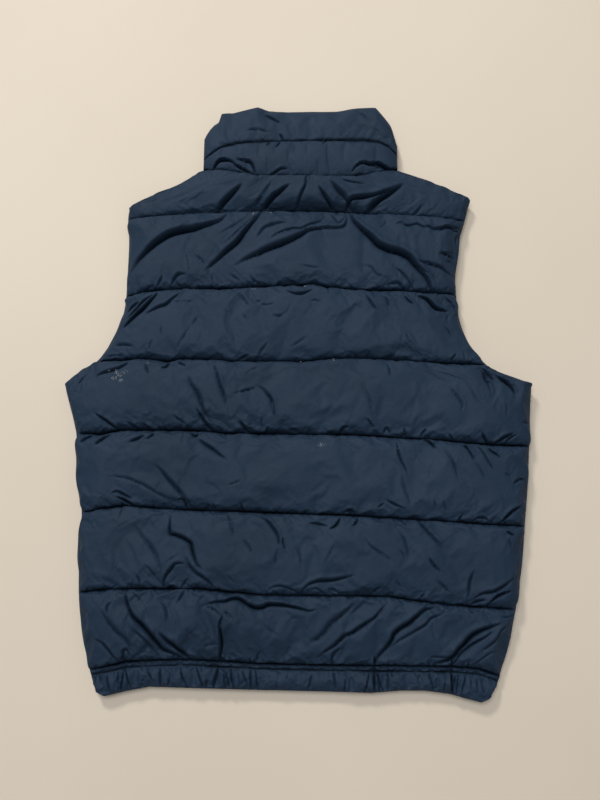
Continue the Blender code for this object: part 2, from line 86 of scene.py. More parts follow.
# Centre heights of the hem seam, the six quilting lines and the neck seam
STITCHED = (30.0, 105.0, 196.0, 288.0, 373.0, 466.0, 562.0, 604.5)

# Centre heights at which the outline keeps its corners, and the bow of the fronts at the neck
CORNERS = (346.0, 361.0, 573.0)
FRONT_BOW = 2.2

# The back's quilting lines and seams as they lie, with their ripples: x, h
QUILTING = {
    30.0: ((-229, 21), (-210, 25), (-188, 30), (-152, 32), (-116, 33), (-39, 30), (40, 29),
           (142, 29), (176, 29), (207, 27), (231, 19)),
    105.0: ((-245, 106), (-214, 109), (-188, 110), (-110, 111), (-61, 107), (-32, 105), (67, 105),
            (105, 105), (142, 100), (172, 97), (198, 95), (250, 92)),
    196.0: ((-246, 196), (-218, 200), (-196, 203), (-163, 201), (-127, 199), (-63, 198), (5, 196),
            (62, 195), (119, 192), (166, 190), (214, 187), (263, 185)),
    288.0: ((-257, 286), (-228, 285), (-204, 290), (-126, 291), (-83, 288), (4, 288), (52, 288),
            (90, 287), (119, 285), (168, 283), (197, 280), (226, 278), (271, 277)),
    373.0: ((-237, 372), (-205, 373), (-180, 375), (-151, 372), (-136, 375), (-100, 375),
            (-78, 373), (3, 374), (42, 378), (84, 378), (125, 376), (165, 374), (224, 373)),
    466.0: ((-206.5, 451), (-185, 456), (-170, 458), (-133, 461), (-94, 461), (-53, 463), (1, 467),
            (18, 468), (33, 465), (56, 463), (91, 462), (125, 462), (146, 460), (189, 459)),
    562.0: ((-209, 549), (-152, 554), (-123, 556), (-52, 560), (0, 562), (60, 560), (84, 559),
            (119, 558), (161, 556), (201, 552)),
    604.5: ((-118, 614), (-107, 612), (-89, 610.5), (-73, 608), (-51, 603.5), (-20, 605),
            (0, 604.5), (38, 604.5), (65, 604.5), (88, 610), (104, 614), (119, 617)),
}

# Crest of each baffle over its stitched lines before it fills, hem to yoke, and how far up the
# baffle the crest lies
BAFFLES = np.array((
    (11.0, 0.9), (12.0, 1.0), (12.0, 1.0), (12.0, 1.0), (12.0, 1.0), (12.0, 1.0), (10.0, 1.0),
))

# Sides of a body panel: how far in from the side outline its edge rounds off, on the back and on
# the fronts, and the level of the back's edge over the gap
BACK_ROUND = 30.0
FRONT_ROUND = 15.0
EDGE_THICK = 1.0
EDGE_RISE = 1.8

# Widths of the panels as laid, which set how many columns they have
BACK_WIDTH = 510.0
FRONT_WIDTH = 250.0

# How far each quilting line draws its ends in, and over what height
DRAWN_IN = 2.4
DRAWN_OVER = 5.0

# Yoke: it is fullest this far over its lower line, and round this x
YOKE_ROUND = 24.0
YOKE_MIDDLE = 10.0
YOKE_HALF = 95.0

# Collar: its top edge over the back and its quilting line, x and h
COLLAR_TOP = np.array((
    (-119.0, 655.0), (-117.5, 661.0), (-112.5, 669.0), (-107.0, 674.0), (-101.5, 676.5),
    (-98.0, 688.0), (-84.0, 688.0),
    (-54.0, 697.0), (-40.0, 692.0), (-18.0, 691.0), (45.0, 693.0), (70.0, 697.0), (92.0, 699.0),
    (101.0, 687.0), (113.0, 671.0), (119.5, 650.0),
))
COLLAR_LINE = np.array((
    (-119.0, 626.0), (-107.0, 635.0), (-95.0, 642.0), (-77.0, 647.0), (-59.0, 649.0), (8.0, 652.0),
    (79.0, 653.0), (97.0, 650.5), (108.0, 645.0), (119.5, 635.0),
))

# Its stand at the zip, how late its front rim bends down to the folds, and its rise at the neck
COLLAR_STAND = 78.0
STAND_BOW = 8.0
NECK_RISE = 5.0

# Levels of its quilting line, of its rim and of the rim's foot, how much higher the middle of the
# rim is drawn, the radius at which the rim turns under, and that of its folds
LINE_LEVEL = 21.0
RIM_LEVEL = 14.0
RIM_BASE = 5.0
RIM_RISE = 1.5
RIM_ROUND = 9.0
FOLD_ROUND = 22.0
UNDER_ROUND = 13.0

# Hem band: its bottom edge, x and h, and the height of its topstitching under its seam
HEM_EDGE = np.array((
    (-229.0, 5.0), (-224.0, -4.0), (-216.0, -8.0), (-192.0, -2.0), (-165.0, 3.0), (-115.0, 2.0),
    (-48.0, 1.0), (40.0, 0.0), (88.0, -1.0), (123.0, 2.0), (150.0, 2.0), (178.0, -1.0),
    (197.0, -6.0), (214.0, -10.0), (223.0, -6.0), (231.0, 6.0),
))
TOPSTITCH = 6.5

# Width of the band's bottom edge as a share of its seam's and what is added up to the seam, how
# full its two channels lie, and the radii of its folds and of its underside
HEM_WIDTH = (0.978, 0.022)
HEM_FULL = (3.6, 1.6)
HEM_FOLD_ROUND = (8.0, 14.0)
HEM_UNDER_ROUND = 9.0

# Columns of a flattened band: their steps in from a fold, how far in the even ones start, and how
# many there are from there to the zip
FOLD_STEPS = (0.0, 0.4, 1.3, 2.8, 4.8, 7.2)
FOLD_WIDTH = 9.6
UNDER_COLUMNS = 24

# Folds of the back: each a crease with a roll of cloth over it, on the side nearer the neck.
# Depth, half width, rise of the roll as a share of the depth, path as x, h pairs
FOLDS = (
    (6.8, 4.8, 0.55, (-86, 553, -96, 544, -111, 537, -125, 533, -141, 529, -155, 524, -167, 516,
                      -178, 507, -187, 498, -195, 489, -203, 477)),
    (5.0, 3.6, 0.55, (-44, 560, -55, 543, -64, 531, -73, 518, -83, 508, -93, 498, -103, 489, -112, 481)),
    (1.8, 1.7, 0.4, (-46, 556, -64, 541, -77, 528, -90, 515, -95, 511)),
    (1.8, 3.0, 0.4, (-58, 553, -74, 542, -85, 534, -97, 526)),
    (1.8, 1.8, 0.4, (-127, 503, -118, 496, -111, 488)),
    (0.9, 1.8, 0.3, (-134, 501, -131, 489, -130, 470)),
    (2.8, 3.0, 0.4, (-13, 543, -28, 541, -41, 536, -47, 528, -51, 521)),
    (2.6, 1.9, 0.5, (34, 555, 25, 546, 13, 541, 1, 535, -11, 534, -25, 529, -40, 518)),
    (5.2, 4.6, 0.5, (31, 537, 21, 535, 10, 532, 0, 525, -11, 519, -23, 514, -35, 509, -47, 503,
                     -59, 498, -67, 493, -76, 487)),
    (3.4, 3.0, 0.5, (58, 556, 56, 543, 51, 538, 40, 536, 31, 537, 21, 535, 12, 533)),
    (2.0, 1.6, 0.4, (34, 557, 41, 551, 46, 544, 51, 547, 59, 556)),
    (7.6, 4.8, 0.55, (60, 560, 65, 545, 75, 534, 85, 525, 92, 517, 104, 510, 118, 506, 130, 500,
                      139, 490, 148, 480, 154, 470, 160, 456)),
    (3.6, 2.8, 0.5, (136, 498, 149, 495, 160, 492, 172, 487, 185, 479)),
    (1.8, 2.2, 0.4, (113, 542, 123, 545, 130, 540, 138, 540)),
    (3.4, 3.0, 0.5, (148, 544, 160, 538, 171, 538, 183, 540, 200, 541)),
    (1.4, 1.6, 0.4, (94, 537, 102, 542, 104, 551)),
    (2.2, 2.0, 0.4, (109, 493, 118, 486, 126, 478, 132, 470, 139, 459)),
    (2.8, 2.8, 0.4, (105, 469, 118, 470, 124, 464, 132, 458)),
    (1.6, 2.6, 0.4, (72, 491, 85, 489, 92, 480, 106, 475)),
    (1.6, 2.4, 0.4, (0, 490, 13, 487, 28, 486)),
    (2.6, 2.0, 0.4, (172, 503, 179, 509, 187, 510)),
    (2.6, 2.2, 0.4, (-161, 476, -165, 468, -169, 461)),
    (3.2, 2.6, 0.4, (-133, 477, -143, 476, -148, 470, -152, 463)),
    (2.4, 2.0, 0.4, (-171, 464, -178, 461, -185, 456)),
    (1.6, 1.8, 0.4, (-144, 466, -135, 459)),
    (1.8, 1.8, 0.4, (-83, 479, -76, 474, -68, 469)),
    (1.8, 1.8, 0.4, (-59, 478, -53, 470, -45, 468)),
    (1.2, 1.6, 0.4, (-104, 479, -102, 470, -97, 463)),
    (5.4, 4.8, 0.4, (-71, 592, -82, 578, -94, 565, -103, 553)),
    (2.4, 3.4, 0.4, (-33, 597, -46, 577, -56, 563)),
    (6.0, 3.6, 0.5, (-12, 592, -26, 580, -34, 573, -41, 566, -50, 554)),
    (3.4, 2.4, 0.5, (8, 602, 7, 592, 4, 584, -1, 572, -8, 554)),
    (1.4, 1.4, 0.3, (4, 593, 9, 602, 14, 594)),
    (4.6, 3.0, 0.5, (22, 590, 30, 577, 37, 568, 48, 554)),
    (4.0, 4.4, 0.4, (36, 597, 46, 584, 56, 574, 64, 560)),
    (1.8, 1.8, 0.4, (48, 599, 61, 595, 79, 593)),
    (6.8, 4.6, 0.5, (126, 596, 115, 587, 102, 578, 91, 569, 76, 553)),
    (4.6, 3.0, 0.5, (112, 588, 95, 581, 77, 577, 64, 575, 58, 568, 54, 554)),
    (2.2, 2.2, 0.4, (149, 571, 142, 562, 131, 554)),
    (3.4, 2.2, 0.4, (194, 535, 189, 529, 190, 520)),
    (3.0, 1.6, 0.4, (197, 536, 188, 537, 177, 541, 167, 535)),
    (3.6, 2.6, 0.4, (167, 508, 178, 506, 187, 502)),
    (2.2, 1.6, 0.4, (175, 497, 181, 499, 187, 494)),
    (2.6, 1.6, 0.4, (119, 545, 131, 541, 141, 544, 150, 540, 162, 542)),
    (2.0, 1.8, 0.4, (134, 493, 149, 485, 165, 475)),
    (4.4, 8.5, 0.15, (-72, 560, -40, 562, 0, 563, 40, 562, 98, 559)),
    (2.6, 5.0, 0.15, (-176, 553, -140, 556, -104, 558, -70, 560)),
    (5.5, 2.4, 0.5, (-166, 453, -175, 442, -184, 432, -190, 427, -199, 418, -208, 410)),
    (3.6, 1.7, 0.5, (-171, 451, -183, 442, -194, 430, -204, 420)),
    (3.6, 1.7, 0.5, (-188, 442, -196, 437, -202, 430)),
    (3.4, 2.2, 0.5, (-140, 453, -149, 446, -156, 439, -167, 434, -181, 426)),
    (1.4, 1.7, 0.4, (-150, 442, -137, 443, -122, 443)),
    (2.0, 3.4, 0.4, (-73, 455, -66, 447, -58, 437)),
    (1.6, 2.4, 0.4, (-67, 428, -63, 425, -56, 421)),
    (1.4, 1.8, 0.4, (-53, 443, -48, 444, -42, 444)),
    (1.6, 1.8, 0.4, (-46, 441, -37, 440, -27, 442)),
    (1.8, 2.0, 0.4, (-32, 427, -24, 426, -15, 426)),
    (2.4, 3.0, 0.4, (-216, 389, -204, 390, -192, 388)),
    (2.0, 3.0, 0.4, (-223, 377, -216, 378, -209, 378)),
    (1.4, 2.8, 0.3, (-170, 397, -173, 390, -175, 382)),
    (1.4, 3.0, 0.3, (-126, 413, -134, 399, -144, 381)),
    (3.0, 1.6, 0.4, (-57, 381, -66, 377, -76, 372)),
    (1.8, 2.6, 0.4, (-34, 396, -43, 385, -48, 375)),
    (1.2, 2.6, 0.3, (-161, 414, -161, 401)),
    (1.4, 1.8, 0.3, (-87, 434, -82, 428)),
    (1.4, 2.0, 0.3, (-119, 427, -121, 420, -125, 414)),
    (3.6, 1.8, 0.5, (-15, 458, -7, 454, 3, 453, 11, 456, 17, 460)),
    (1.2, 2.4, 0.4, (-8, 444, -11, 436, -16, 429, -29, 424)),
    (1.4, 1.7, 0.4, (12, 443, 19, 446, 28, 443)),
    (2.8, 2.6, 0.4, (79, 456, 83, 448, 89, 439, 95, 433)),
    (2.2, 2.6, 0.4, (97, 454, 104, 448, 107, 437)),
    (3.4, 1.9, 0.5, (125, 454, 130, 447, 137, 443)),
    (5.5, 2.4, 0.5, (140, 454, 152, 449, 159, 441, 165, 437, 178, 436)),
    (2.8, 2.0, 0.4, (172, 454, 181, 446, 187, 437)),
    (2.2, 1.9, 0.4, (171, 418, 177, 412, 181, 405)),
    (1.6, 2.4, 0.3, (179, 433, 176, 428, 176, 422)),
    (3.0, 1.7, 0.4, (187, 385, 181, 379, 179, 372)),
    (2.6, 1.6, 0.4, (165, 379, 159, 374)),
    (1.6, 3.4, 0.4, (12, 404, 1, 395, -10, 389)),
    (1.6, 3.6, 0.3, (127, 410, 130, 400, 136, 393)),
    (1.6, 2.0, 0.3, (195, 388, 196, 378)),
    (3.6, 2.4, 0.5, (-197, 369, -205, 363, -214, 359, -225, 356, -237, 351)),
    (4.2, 1.7, 0.5, (-235, 309, -224, 302, -213, 295, -201, 288)),
    (3.8, 2.0, 0.5, (-197, 300, -188, 294, -176, 288)),
    (3.4, 2.0, 0.5, (-181, 299, -172, 293, -161, 288)),
    (2.4, 2.6, 0.4, (-143, 307, -135, 301, -129, 298)),
    (3.2, 3.4, 0.5, (-128, 355, -124, 344, -117, 334, -112, 323, -108, 314, -104, 307, -96, 301)),
    (4.2, 2.4, 0.5, (-117, 316, -111, 306, -106, 299, -99, 292, -91, 288)),
    (3.0, 2.8, 0.5, (-99, 369, -95, 359, -92, 349, -88, 338, -85, 329, -81, 319)),
    (3.4, 2.0, 0.4, (-137, 295, -129, 289, -122, 287)),
    (2.0, 2.4, 0.4, (-179, 368, -176, 361, -173, 353)),
    (3.0, 1.8, 0.4, (-160, 362, -153, 363, -148, 370)),
    (2.6, 1.7, 0.4, (-141, 369, -136, 367, -130, 364)),
    (2.8, 2.0, 0.5, (-73, 334, -66, 335, -59, 337, -47, 341)),
    (3.2, 2.2, 0.4, (-67, 303, -60, 294, -53, 287)),
    (3.2, 1.9, 0.4, (-112, 292, -108, 293, -102, 288)),
    (1.4, 2.4, 0.3, (-249, 352, -256, 342)),
    (3.4, 2.4, 0.5, (-49, 344, -40, 339, -34, 332, -30, 326, -28, 317, -25, 304)),
    (3.6, 2.0, 0.4, (-67, 301, -61, 295, -55, 288)),
    (2.0, 1.6, 0.4, (-40, 308, -41, 301, -40, 294)),
    (3.6, 1.8, 0.4, (-36, 288, -34, 294, -32, 296)),
    (3.4, 2.2, 0.4, (-31, 292, -22, 290, -14, 292, -9, 290)),
    (2.6, 2.4, 0.4, (-9, 294, -3, 293, 3, 290)),
    (4.0, 1.8, 0.4, (48, 287, 53, 295, 60, 297)),
    (2.6, 2.0, 0.4, (32, 289, 37, 291, 44, 290)),
    (1.8, 4.0, 0.4, (74, 352, 79, 335, 84, 325, 87, 314, 91, 306)),
    (3.2, 1.7, 0.4, (78, 307, 84, 302, 89, 295)),
    (2.8, 1.6, 0.4, (100, 290, 104, 296, 109, 289)),
    (2.8, 1.5, 0.4, (123, 297, 125, 291, 127, 286)),
    (2.4, 1.5, 0.4, (150, 296, 146, 292, 142, 286)),
    (2.0, 2.0, 0.4, (104, 372, 107, 363, 107, 354)),
    (1.4, 2.4, 0.3, (-43, 365, -52, 362, -61, 355)),
    (2.8, 2.4, 0.4, (210, 369, 217, 363, 219, 354, 223, 345, 226, 334)),
    (3.6, 1.9, 0.5, (215, 369, 222, 362, 229, 353)),
    (5.0, 2.2, 0.5, (233, 359, 242, 352, 249, 345, 253, 336)),
    (2.4, 2.8, 0.4, (174, 345, 181, 338, 187, 330, 191, 323, 190, 314)),
    (1.6, 3.6, 0.3, (194, 356, 201, 343, 207, 330, 215, 316)),
    (1.4, 3.0, 0.3, (241, 328, 243, 319, 242, 309)),
    (4.0, 2.2, 0.4, (213, 292, 217, 285, 222, 278)),
    (4.0, 2.0, 0.5, (224, 277, 233, 282, 241, 287, 252, 292)),
    (3.0, 1.7, 0.4, (238, 275, 244, 284, 255, 291)),
    (3.2, 1.7, 0.4, (175, 291, 178, 287, 181, 283)),
    (2.6, 1.5, 0.4, (143, 285, 146, 290, 150, 296)),
    (2.2, 1.6, 0.4, (260, 304, 270, 304)),
    (3.0, 1.7, 0.4, (151, 279, 156, 277, 159, 271)),
    (2.8, 1.6, 0.4, (191, 276, 197, 271)),
    (3.6, 2.8, 0.5, (-115, 281, -105, 273, -96, 267, -88, 261, -80, 255)),
    (3.4, 3.8, 0.5, (-164, 250, -155, 242, -146, 232, -138, 224, -131, 216, -123, 208, -117, 200)),
    (2.2, 2.8, 0.4, (-219, 236, -205, 235, -193, 233, -180, 228, -169, 223, -159, 217, -149, 212,
                     -140, 202)),
    (3.2, 1.6, 0.5, (-211, 216, -205, 219, -196, 215, -187, 211)),
    (4.6, 1.8, 0.5, (-205, 213, -198, 210, -190, 206, -182, 202)),
    (4.0, 1.9, 0.4, (-134, 210, -129, 211, -125, 205, -123, 199)),
    (3.4, 2.0, 0.4, (-175, 283, -182, 279, -193, 275)),
    (3.4, 2.0, 0.4, (-213, 284, -223, 278, -233, 271)),
    (3.6, 2.4, 0.4, (-251, 274, -243, 279, -233, 284)),
    (2.8, 1.8, 0.4, (-164, 286, -167, 282, -173, 278)),
    (3.4, 2.0, 0.4, (-123, 287, -118, 282, -112, 285)),
    (1.8, 1.5, 0.4, (-63, 233, -71, 229, -79, 227)),
    (3.0, 1.6, 0.4, (-94, 207, -92, 202, -90, 198)),
    (3.4, 1.8, 0.4, (-63, 208, -61, 202, -56, 196)),
    (1.4, 3.6, 0.3, (-106, 231, -95, 226, -85, 219)),
    (3.2, 2.2, 0.5, (115, 281, 117, 267, 120, 258, 125, 248, 128, 241)),
    (2.0, 4.2, 0.4, (120, 244, 123, 229, 128, 217, 131, 204)),
    (3.8, 1.8, 0.4, (144, 282, 153, 279, 160, 272)),
    (2.2, 2.8, 0.4, (168, 272, 176, 262, 181, 250, 185, 236)),
    (3.6, 1.8, 0.5, (192, 277, 199, 268, 203, 258)),
    (1.8, 3.2, 0.4, (203, 260, 209, 249, 217, 235)),
    (2.6, 2.2, 0.4, (206, 277, 213, 269, 219, 258, 227, 247)),
    (3.6, 1.7, 0.4, (219, 273, 227, 267, 234, 262)),
    (3.2, 1.7, 0.4, (247, 231, 254, 237, 263, 239)),
    (1.8, 1.8, 0.3, (237, 245, 246, 241)),
    (4.6, 2.0, 0.5, (231, 187, 239, 195, 247, 202, 259, 209)),
    (2.4, 1.6, 0.4, (92, 204, 96, 206, 100, 209)),
    (2.8, 1.7, 0.4, (100, 214, 111, 208, 123, 203)),
    (3.0, 1.6, 0.4, (54, 198, 61, 201, 68, 194)),
    (3.2, 1.6, 0.4, (183, 189, 186, 193, 190, 198)),
    (3.0, 1.6, 0.4, (201, 189, 206, 194, 215, 194, 220, 189)),
    (1.8, 2.0, 0.3, (157, 215, 158, 209, 159, 203)),
    (1.8, 2.2, 0.3, (167, 214, 169, 207, 172, 200)),
    (2.8, 1.6, 0.4, (51, 191, 46, 183, 41, 179)),
    (2.4, 1.6, 0.4, (71, 191, 66, 183)),
    (3.0, 1.7, 0.4, (119, 191, 121, 187, 126, 183)),
    (3.0, 1.8, 0.4, (139, 190, 142, 185, 147, 179)),
    (4.6, 3.0, 0.5, (-143, 192, -143, 180, -142, 171, -136, 170, -126, 166, -119, 161, -117, 154,
                     -114, 146, -111, 139, -104, 131)),
    (3.4, 2.6, 0.5, (-124, 148, -119, 137, -113, 129, -104, 124, -96, 118, -87, 108)),
    (3.4, 2.4, 0.5, (-123, 139, -134, 138, -139, 132, -144, 126, -147, 119, -147, 111)),
    (2.2, 1.8, 0.4, (-118, 124, -125, 117, -128, 110)),
    (2.4, 4.6, 0.4, (-185, 183, -176, 170, -166, 159, -158, 147, -152, 133, -151, 125)),
    (2.0, 3.4, 0.4, (-78, 197, -72, 181, -69, 168)),
    (2.0, 1.8, 0.4, (-181, 129, -175, 121, -174, 113)),
    (2.0, 1.8, 0.4, (-170, 138, -162, 130, -153, 119)),
    (1.2, 1.6, 0.4, (-146, 139, -136, 146, -129, 150)),
    (1.2, 1.8, 0.4, (-184, 188, -193, 183, -203, 176)),
    (1.2, 1.8, 0.4, (-153, 188, -166, 178)),
    (1.8, 2.0, 0.4, (-78, 128, -68, 117)),
    (3.4, 2.6, 0.5, (-43, 193, -33, 187, -25, 178, -20, 169, -19, 158)),
    (1.8, 4.2, 0.4, (-19, 159, -21, 149, -23, 136)),
    (2.2, 1.8, 0.4, (-16, 174, -13, 161, -10, 148)),
    (1.6, 2.4, 0.4, (-2, 161, 4, 153, 6, 142, 9, 130)),
    (3.0, 1.7, 0.4, (14, 185, 25, 184, 37, 182)),
    (3.4, 1.7, 0.5, (51, 192, 46, 183, 37, 178)),
    (2.8, 1.6, 0.4, (71, 190, 68, 185, 63, 181)),
    (2.8, 1.6, 0.4, (34, 194, 36, 198, 39, 199)),
    (3.2, 1.8, 0.5, (55, 198, 63, 201, 68, 194)),
    (1.6, 3.0, 0.4, (44, 162, 38, 149, 32, 139)),
    (2.0, 3.0, 0.4, (76, 172, 83, 161, 93, 154, 104, 147, 115, 141)),
    (2.0, 2.6, 0.4, (117, 178, 122, 169, 125, 160, 128, 147)),
    (1.6, 2.4, 0.4, (116, 159, 120, 153, 123, 147)),
    (3.0, 3.4, 0.5, (138, 187, 148, 177, 158, 167, 167, 157)),
    (3.2, 2.4, 0.4, (149, 150, 156, 139, 164, 132)),
    (3.0, 1.8, 0.4, (84, 107, 91, 113, 98, 116)),
    (2.0, 1.6, 0.4, (36, 113, 42, 113, 48, 111)),
    (2.2, 1.6, 0.4, (18, 113, 25, 113, 36, 106)),
    (2.4, 2.4, 0.4, (-61, 167, -53, 158, -48, 150)),
    (1.8, 2.4, 0.4, (112, 125, 118, 115)),
    (2.6, 2.6, 0.4, (158, 125, 167, 116, 174, 109)),
    (2.8, 3.0, 0.4, (202, 136, 197, 124, 195, 111, 193, 102)),
    (3.6, 2.4, 0.5, (250, 130, 242, 123, 233, 117, 223, 112, 209, 109, 199, 102)),
    (4.6, 2.0, 0.5, (243, 113, 229, 108, 222, 103, 216, 98)),
    (3.6, 2.0, 0.4, (215, 103, 204, 101, 196, 97)),
    (3.2, 1.8, 0.4, (238, 179, 244, 175, 248, 174)),
    (1.8, 2.4, 0.3, (240, 171, 243, 165, 245, 157)),
    (3.0, 1.7, 0.4, (140, 104, 145, 109)),
    (4.0, 2.6, 0.5, (6, 105, 10, 113, 17, 118, 27, 121, 45, 122, 68, 128)),
    (2.4, 2.2, 0.4, (-33, 108, -25, 114, -16, 115, -5, 112, 6, 108)),
    (1.8, 1.8, 0.4, (37, 113, 46, 110, 53, 108)),
    (2.4, 2.4, 0.4, (-92, 103, -79, 107, -66, 106)),
    (5.2, 2.8, 0.55, (-104, 92, -90, 96, -78, 97, -71, 99, -63, 99, -54, 94, -45, 90, -36, 90,
                      -29, 93, -15, 93, -2, 91, 9, 89, 17, 88, 27, 91)),
    (5.6, 3.8, 0.55, (-189, 108, -189, 99, -186, 89, -180, 79, -171, 71, -162, 62, -153, 52,
                      -146, 44, -132, 39, -119, 33)),
    (5.0, 3.4, 0.5, (-151, 64, -142, 54, -133, 47, -123, 40, -114, 32)),
    (3.0, 3.0, 0.5, (-184, 69, -168, 56, -160, 47, -149, 36)),
    (3.2, 2.2, 0.5, (-224, 56, -214, 50, -207, 43, -201, 36, -194, 28)),
    (3.0, 2.2, 0.5, (-196, 30, -190, 37, -190, 42, -186, 44, -182, 36)),
    (2.2, 3.6, 0.4, (-204, 96, -209, 90, -208, 82)),
    (3.0, 4.4, 0.4, (-217, 87, -208, 74, -198, 62, -186, 52, -180, 40)),
    (2.2, 3.0, 0.4, (-149, 98, -143, 87, -141, 72)),
    (1.8, 1.8, 0.4, (-185, 110, -179, 102, -169, 94)),
    (2.6, 2.0, 0.4, (-123, 110, -127, 102, -133, 93)),
    (4.6, 2.4, 0.5, (-80, 83, -83, 72, -81, 61, -80, 50, -82, 39, -78, 31)),
    (2.0, 2.2, 0.4, (-104, 93, -89, 87, -80, 80)),
    (2.0, 2.0, 0.4, (-81, 89, -73, 83, -67, 78)),
    (2.0, 2.6, 0.4, (-82, 51, -93, 50, -103, 48)),
    (1.0, 1.8, 0.3, (-108, 69, -114, 64, -121, 57)),
    (1.6, 2.0, 0.4, (-79, 88, -72, 80, -66, 75)),
    (1.6, 3.0, 0.4, (-40, 75, -28, 67, -16, 59)),
    (3.4, 5.4, 0.4, (67, 96, 54, 84, 43, 75, 34, 65, 26, 58, 14, 52)),
    (1.8, 4.0, 0.4, (84, 103, 73, 92, 60, 83)),
    (4.4, 3.0, 0.5, (103, 98, 90, 82, 79, 74, 66, 65, 55, 60, 45, 51, 36, 45, 24, 37)),
    (3.2, 2.2, 0.5, (54, 49, 45, 43, 42, 36, 41, 28)),
    (2.2, 2.2, 0.4, (-36, 45, -40, 40, -41, 32)),
    (5.2, 3.4, 0.55, (159, 93, 146, 90, 137, 83, 128, 75, 119, 70, 112, 64, 109, 57, 103, 48,
                      96, 41, 89, 31)),
    (3.0, 2.4, 0.5, (172, 95, 164, 86, 153, 81, 146, 74, 134, 67, 122, 60, 112, 53, 103, 44)),
    (1.6, 3.0, 0.4, (105, 102, 100, 91, 89, 79)),
    (5.6, 3.6, 0.55, (232, 77, 216, 71, 205, 66, 197, 61, 190, 53, 183, 47, 178, 40, 170, 36,
                      153, 32)),
    (4.0, 2.2, 0.5, (223, 69, 213, 62, 201, 55, 192, 48, 184, 41, 176, 29)),
    (3.0, 2.4, 0.5, (241, 77, 231, 68, 226, 60, 218, 53, 207, 46)),
    (2.0, 1.8, 0.4, (230, 48, 218, 44, 210, 39, 203, 34, 194, 28)),
    (2.0, 2.2, 0.4, (150, 40, 168, 39, 178, 42)),
    (2.2, 1.8, 0.4, (195, 97, 196, 90, 201, 85)),
    (2.0, 2.4, 0.4, (230, 84, 239, 83, 246, 86)),
    (1.0, 2.0, 0.3, (185, 88, 187, 77)),
)

# Tucks and dents of the collar
COLLAR_FOLDS = (
    (5.4, 1.9, 0.5, (-106, 611, -103, 618, -97, 623, -88, 623, -80, 620)),
    (4.2, 1.5, 0.5, (-84, 622, -78, 617, -71, 613, -59, 608)),
    (4.2, 1.9, 0.4, (-79, 626, -69, 623, -61, 621, -57, 614, -55, 607)),
    (3.4, 1.5, 0.4, (-41, 604, -31, 609, -22, 614, -13, 613)),
    (5.0, 1.7, 0.5, (62, 609, 68, 617, 76, 622, 83, 621, 94, 622, 103, 618, 117, 611)),
    (3.6, 2.6, 0.4, (80, 620, 94, 619, 105, 616, 115, 613)),
    (3.2, 2.4, 0.4, (-47, 687, -38, 682, -30, 677, -22, 673)),
    (2.4, 2.2, 0.3, (-69, 663, -57, 665, -45, 663, -36, 661)),
    (1.8, 3.4, 0.3, (69, 692, 78, 684, 84, 676)),
    (1.4, 3.4, 0.3, (70, 675, 83, 668, 96, 665)),
    (3.4, 1.4, 0.3, (-27, 661, -24, 657, -21, 650)),
    (2.2, 1.6, 0.3, (36, 657, 31, 651, 26, 643)),
    (2.6, 1.3, 0.3, (-31, 640, -28, 644, -24, 649)),
    (2.4, 1.2, 0.3, (-42, 642, -39, 646, -37, 649)),
    (2.4, 1.2, 0.3, (-49, 654, -46, 650)),
)

# Gathers of the hem band: x and h at the upper end and at the lower end, depth, half width
GATHERS = (
    (-222, 18, -221, 7, 1.6, 1.5), (-217, 17, -212, 5, 1.8, 1.5), (-209, 16, -203, -3, 2.6, 1.6),
    (-196, 22, -195, -1, 1.8, 1.5), (-189, 23, -193, -3, 3.2, 1.6), (-189, 23, -180, 1, 3.2, 1.6),
    (-174, 22, -173, 3, 1.8, 1.4), (-166, 24, -155, 9, 2.6, 1.6), (-149, 24, -148, 2, 2.6, 1.5),
    (-138, 10, -142, 1, 2.0, 1.5), (-128, 24, -119, 5, 3.2, 1.6), (-110, 25, -100, 4, 3.2, 1.7),
    (-97, 12, -98, 1, 2.0, 1.5), (-84, 25, -90, 3, 4.2, 2.0), (-78, 24, -75, 0, 2.4, 1.5),
    (-77, 25, -71, 4, 2.6, 1.5), (-71, 24, -66, 1, 3.0, 1.5), (-64, 22, -60, 9, 1.8, 1.4),
    (-58, 21, -51, 7, 2.4, 1.5), (-49, 27, -47, 1, 3.0, 1.6), (-43, 22, -39, 1, 2.4, 1.5),
    (-20, 9, -18, 0, 1.6, 1.5), (-6, 20, -9, 12, 1.2, 2.2), (20, 16, 15, 2, 2.2, 1.6),
    (44, 24, 47, 4, 2.2, 1.5), (58, 13, 56, 1, 2.0, 1.4), (85, 20, 78, 0, 2.4, 1.5),
    (90, 28, 90, 2, 4.4, 1.9), (93, 20, 97, 2, 2.4, 1.4), (92, 23, 101, 0, 3.2, 1.5),
    (105, 24, 105, 0, 2.4, 1.5), (111, 24, 109, 16, 2.0, 1.5), (141, 23, 138, 11, 1.6, 1.8),
    (151, 23, 157, 1, 2.4, 1.5), (169, 13, 167, 3, 1.8, 1.4), (176, 27, 177, -1, 4.4, 1.9),
    (181, 18, 174, 0, 3.0, 1.5), (184, 20, 181, -1, 2.4, 1.4), (193, 22, 186, 0, 2.6, 1.6),
    (198, 16, 197, 5, 1.8, 1.4), (204, 18, 205, 1, 1.8, 1.4), (209, 18, 213, 0, 1.8, 1.4),
)

# Specks of lint on the back: x, h, radius
LINT = (
    (-222, 359, 3.0), (-212, 358, 4.0), (-202, 357, 3.5), (-215, 350, 3.0), (-205, 348, 3.5),
    (-209, 353, 3.5), (-53, 462, 1.2), (7, 465, 1.5), (3, 375, 1.8), (42, 377, 0.9),
    (-176, 370, 0.9), (27, 276, 2.6), (31, 275, 2.0), (-10, 26, 1.2), (-6, 28, 1.0), (14, 22, 1.0),
    (-57, 556, 1.0), (-35, 558, 0.8),
)

# Way up the garment to which folds roll over, and half the width of a crease's rounded bottom
ROLL_SIDE = (-0.35, 1.0)
CREASE_FLOOR = 0.6

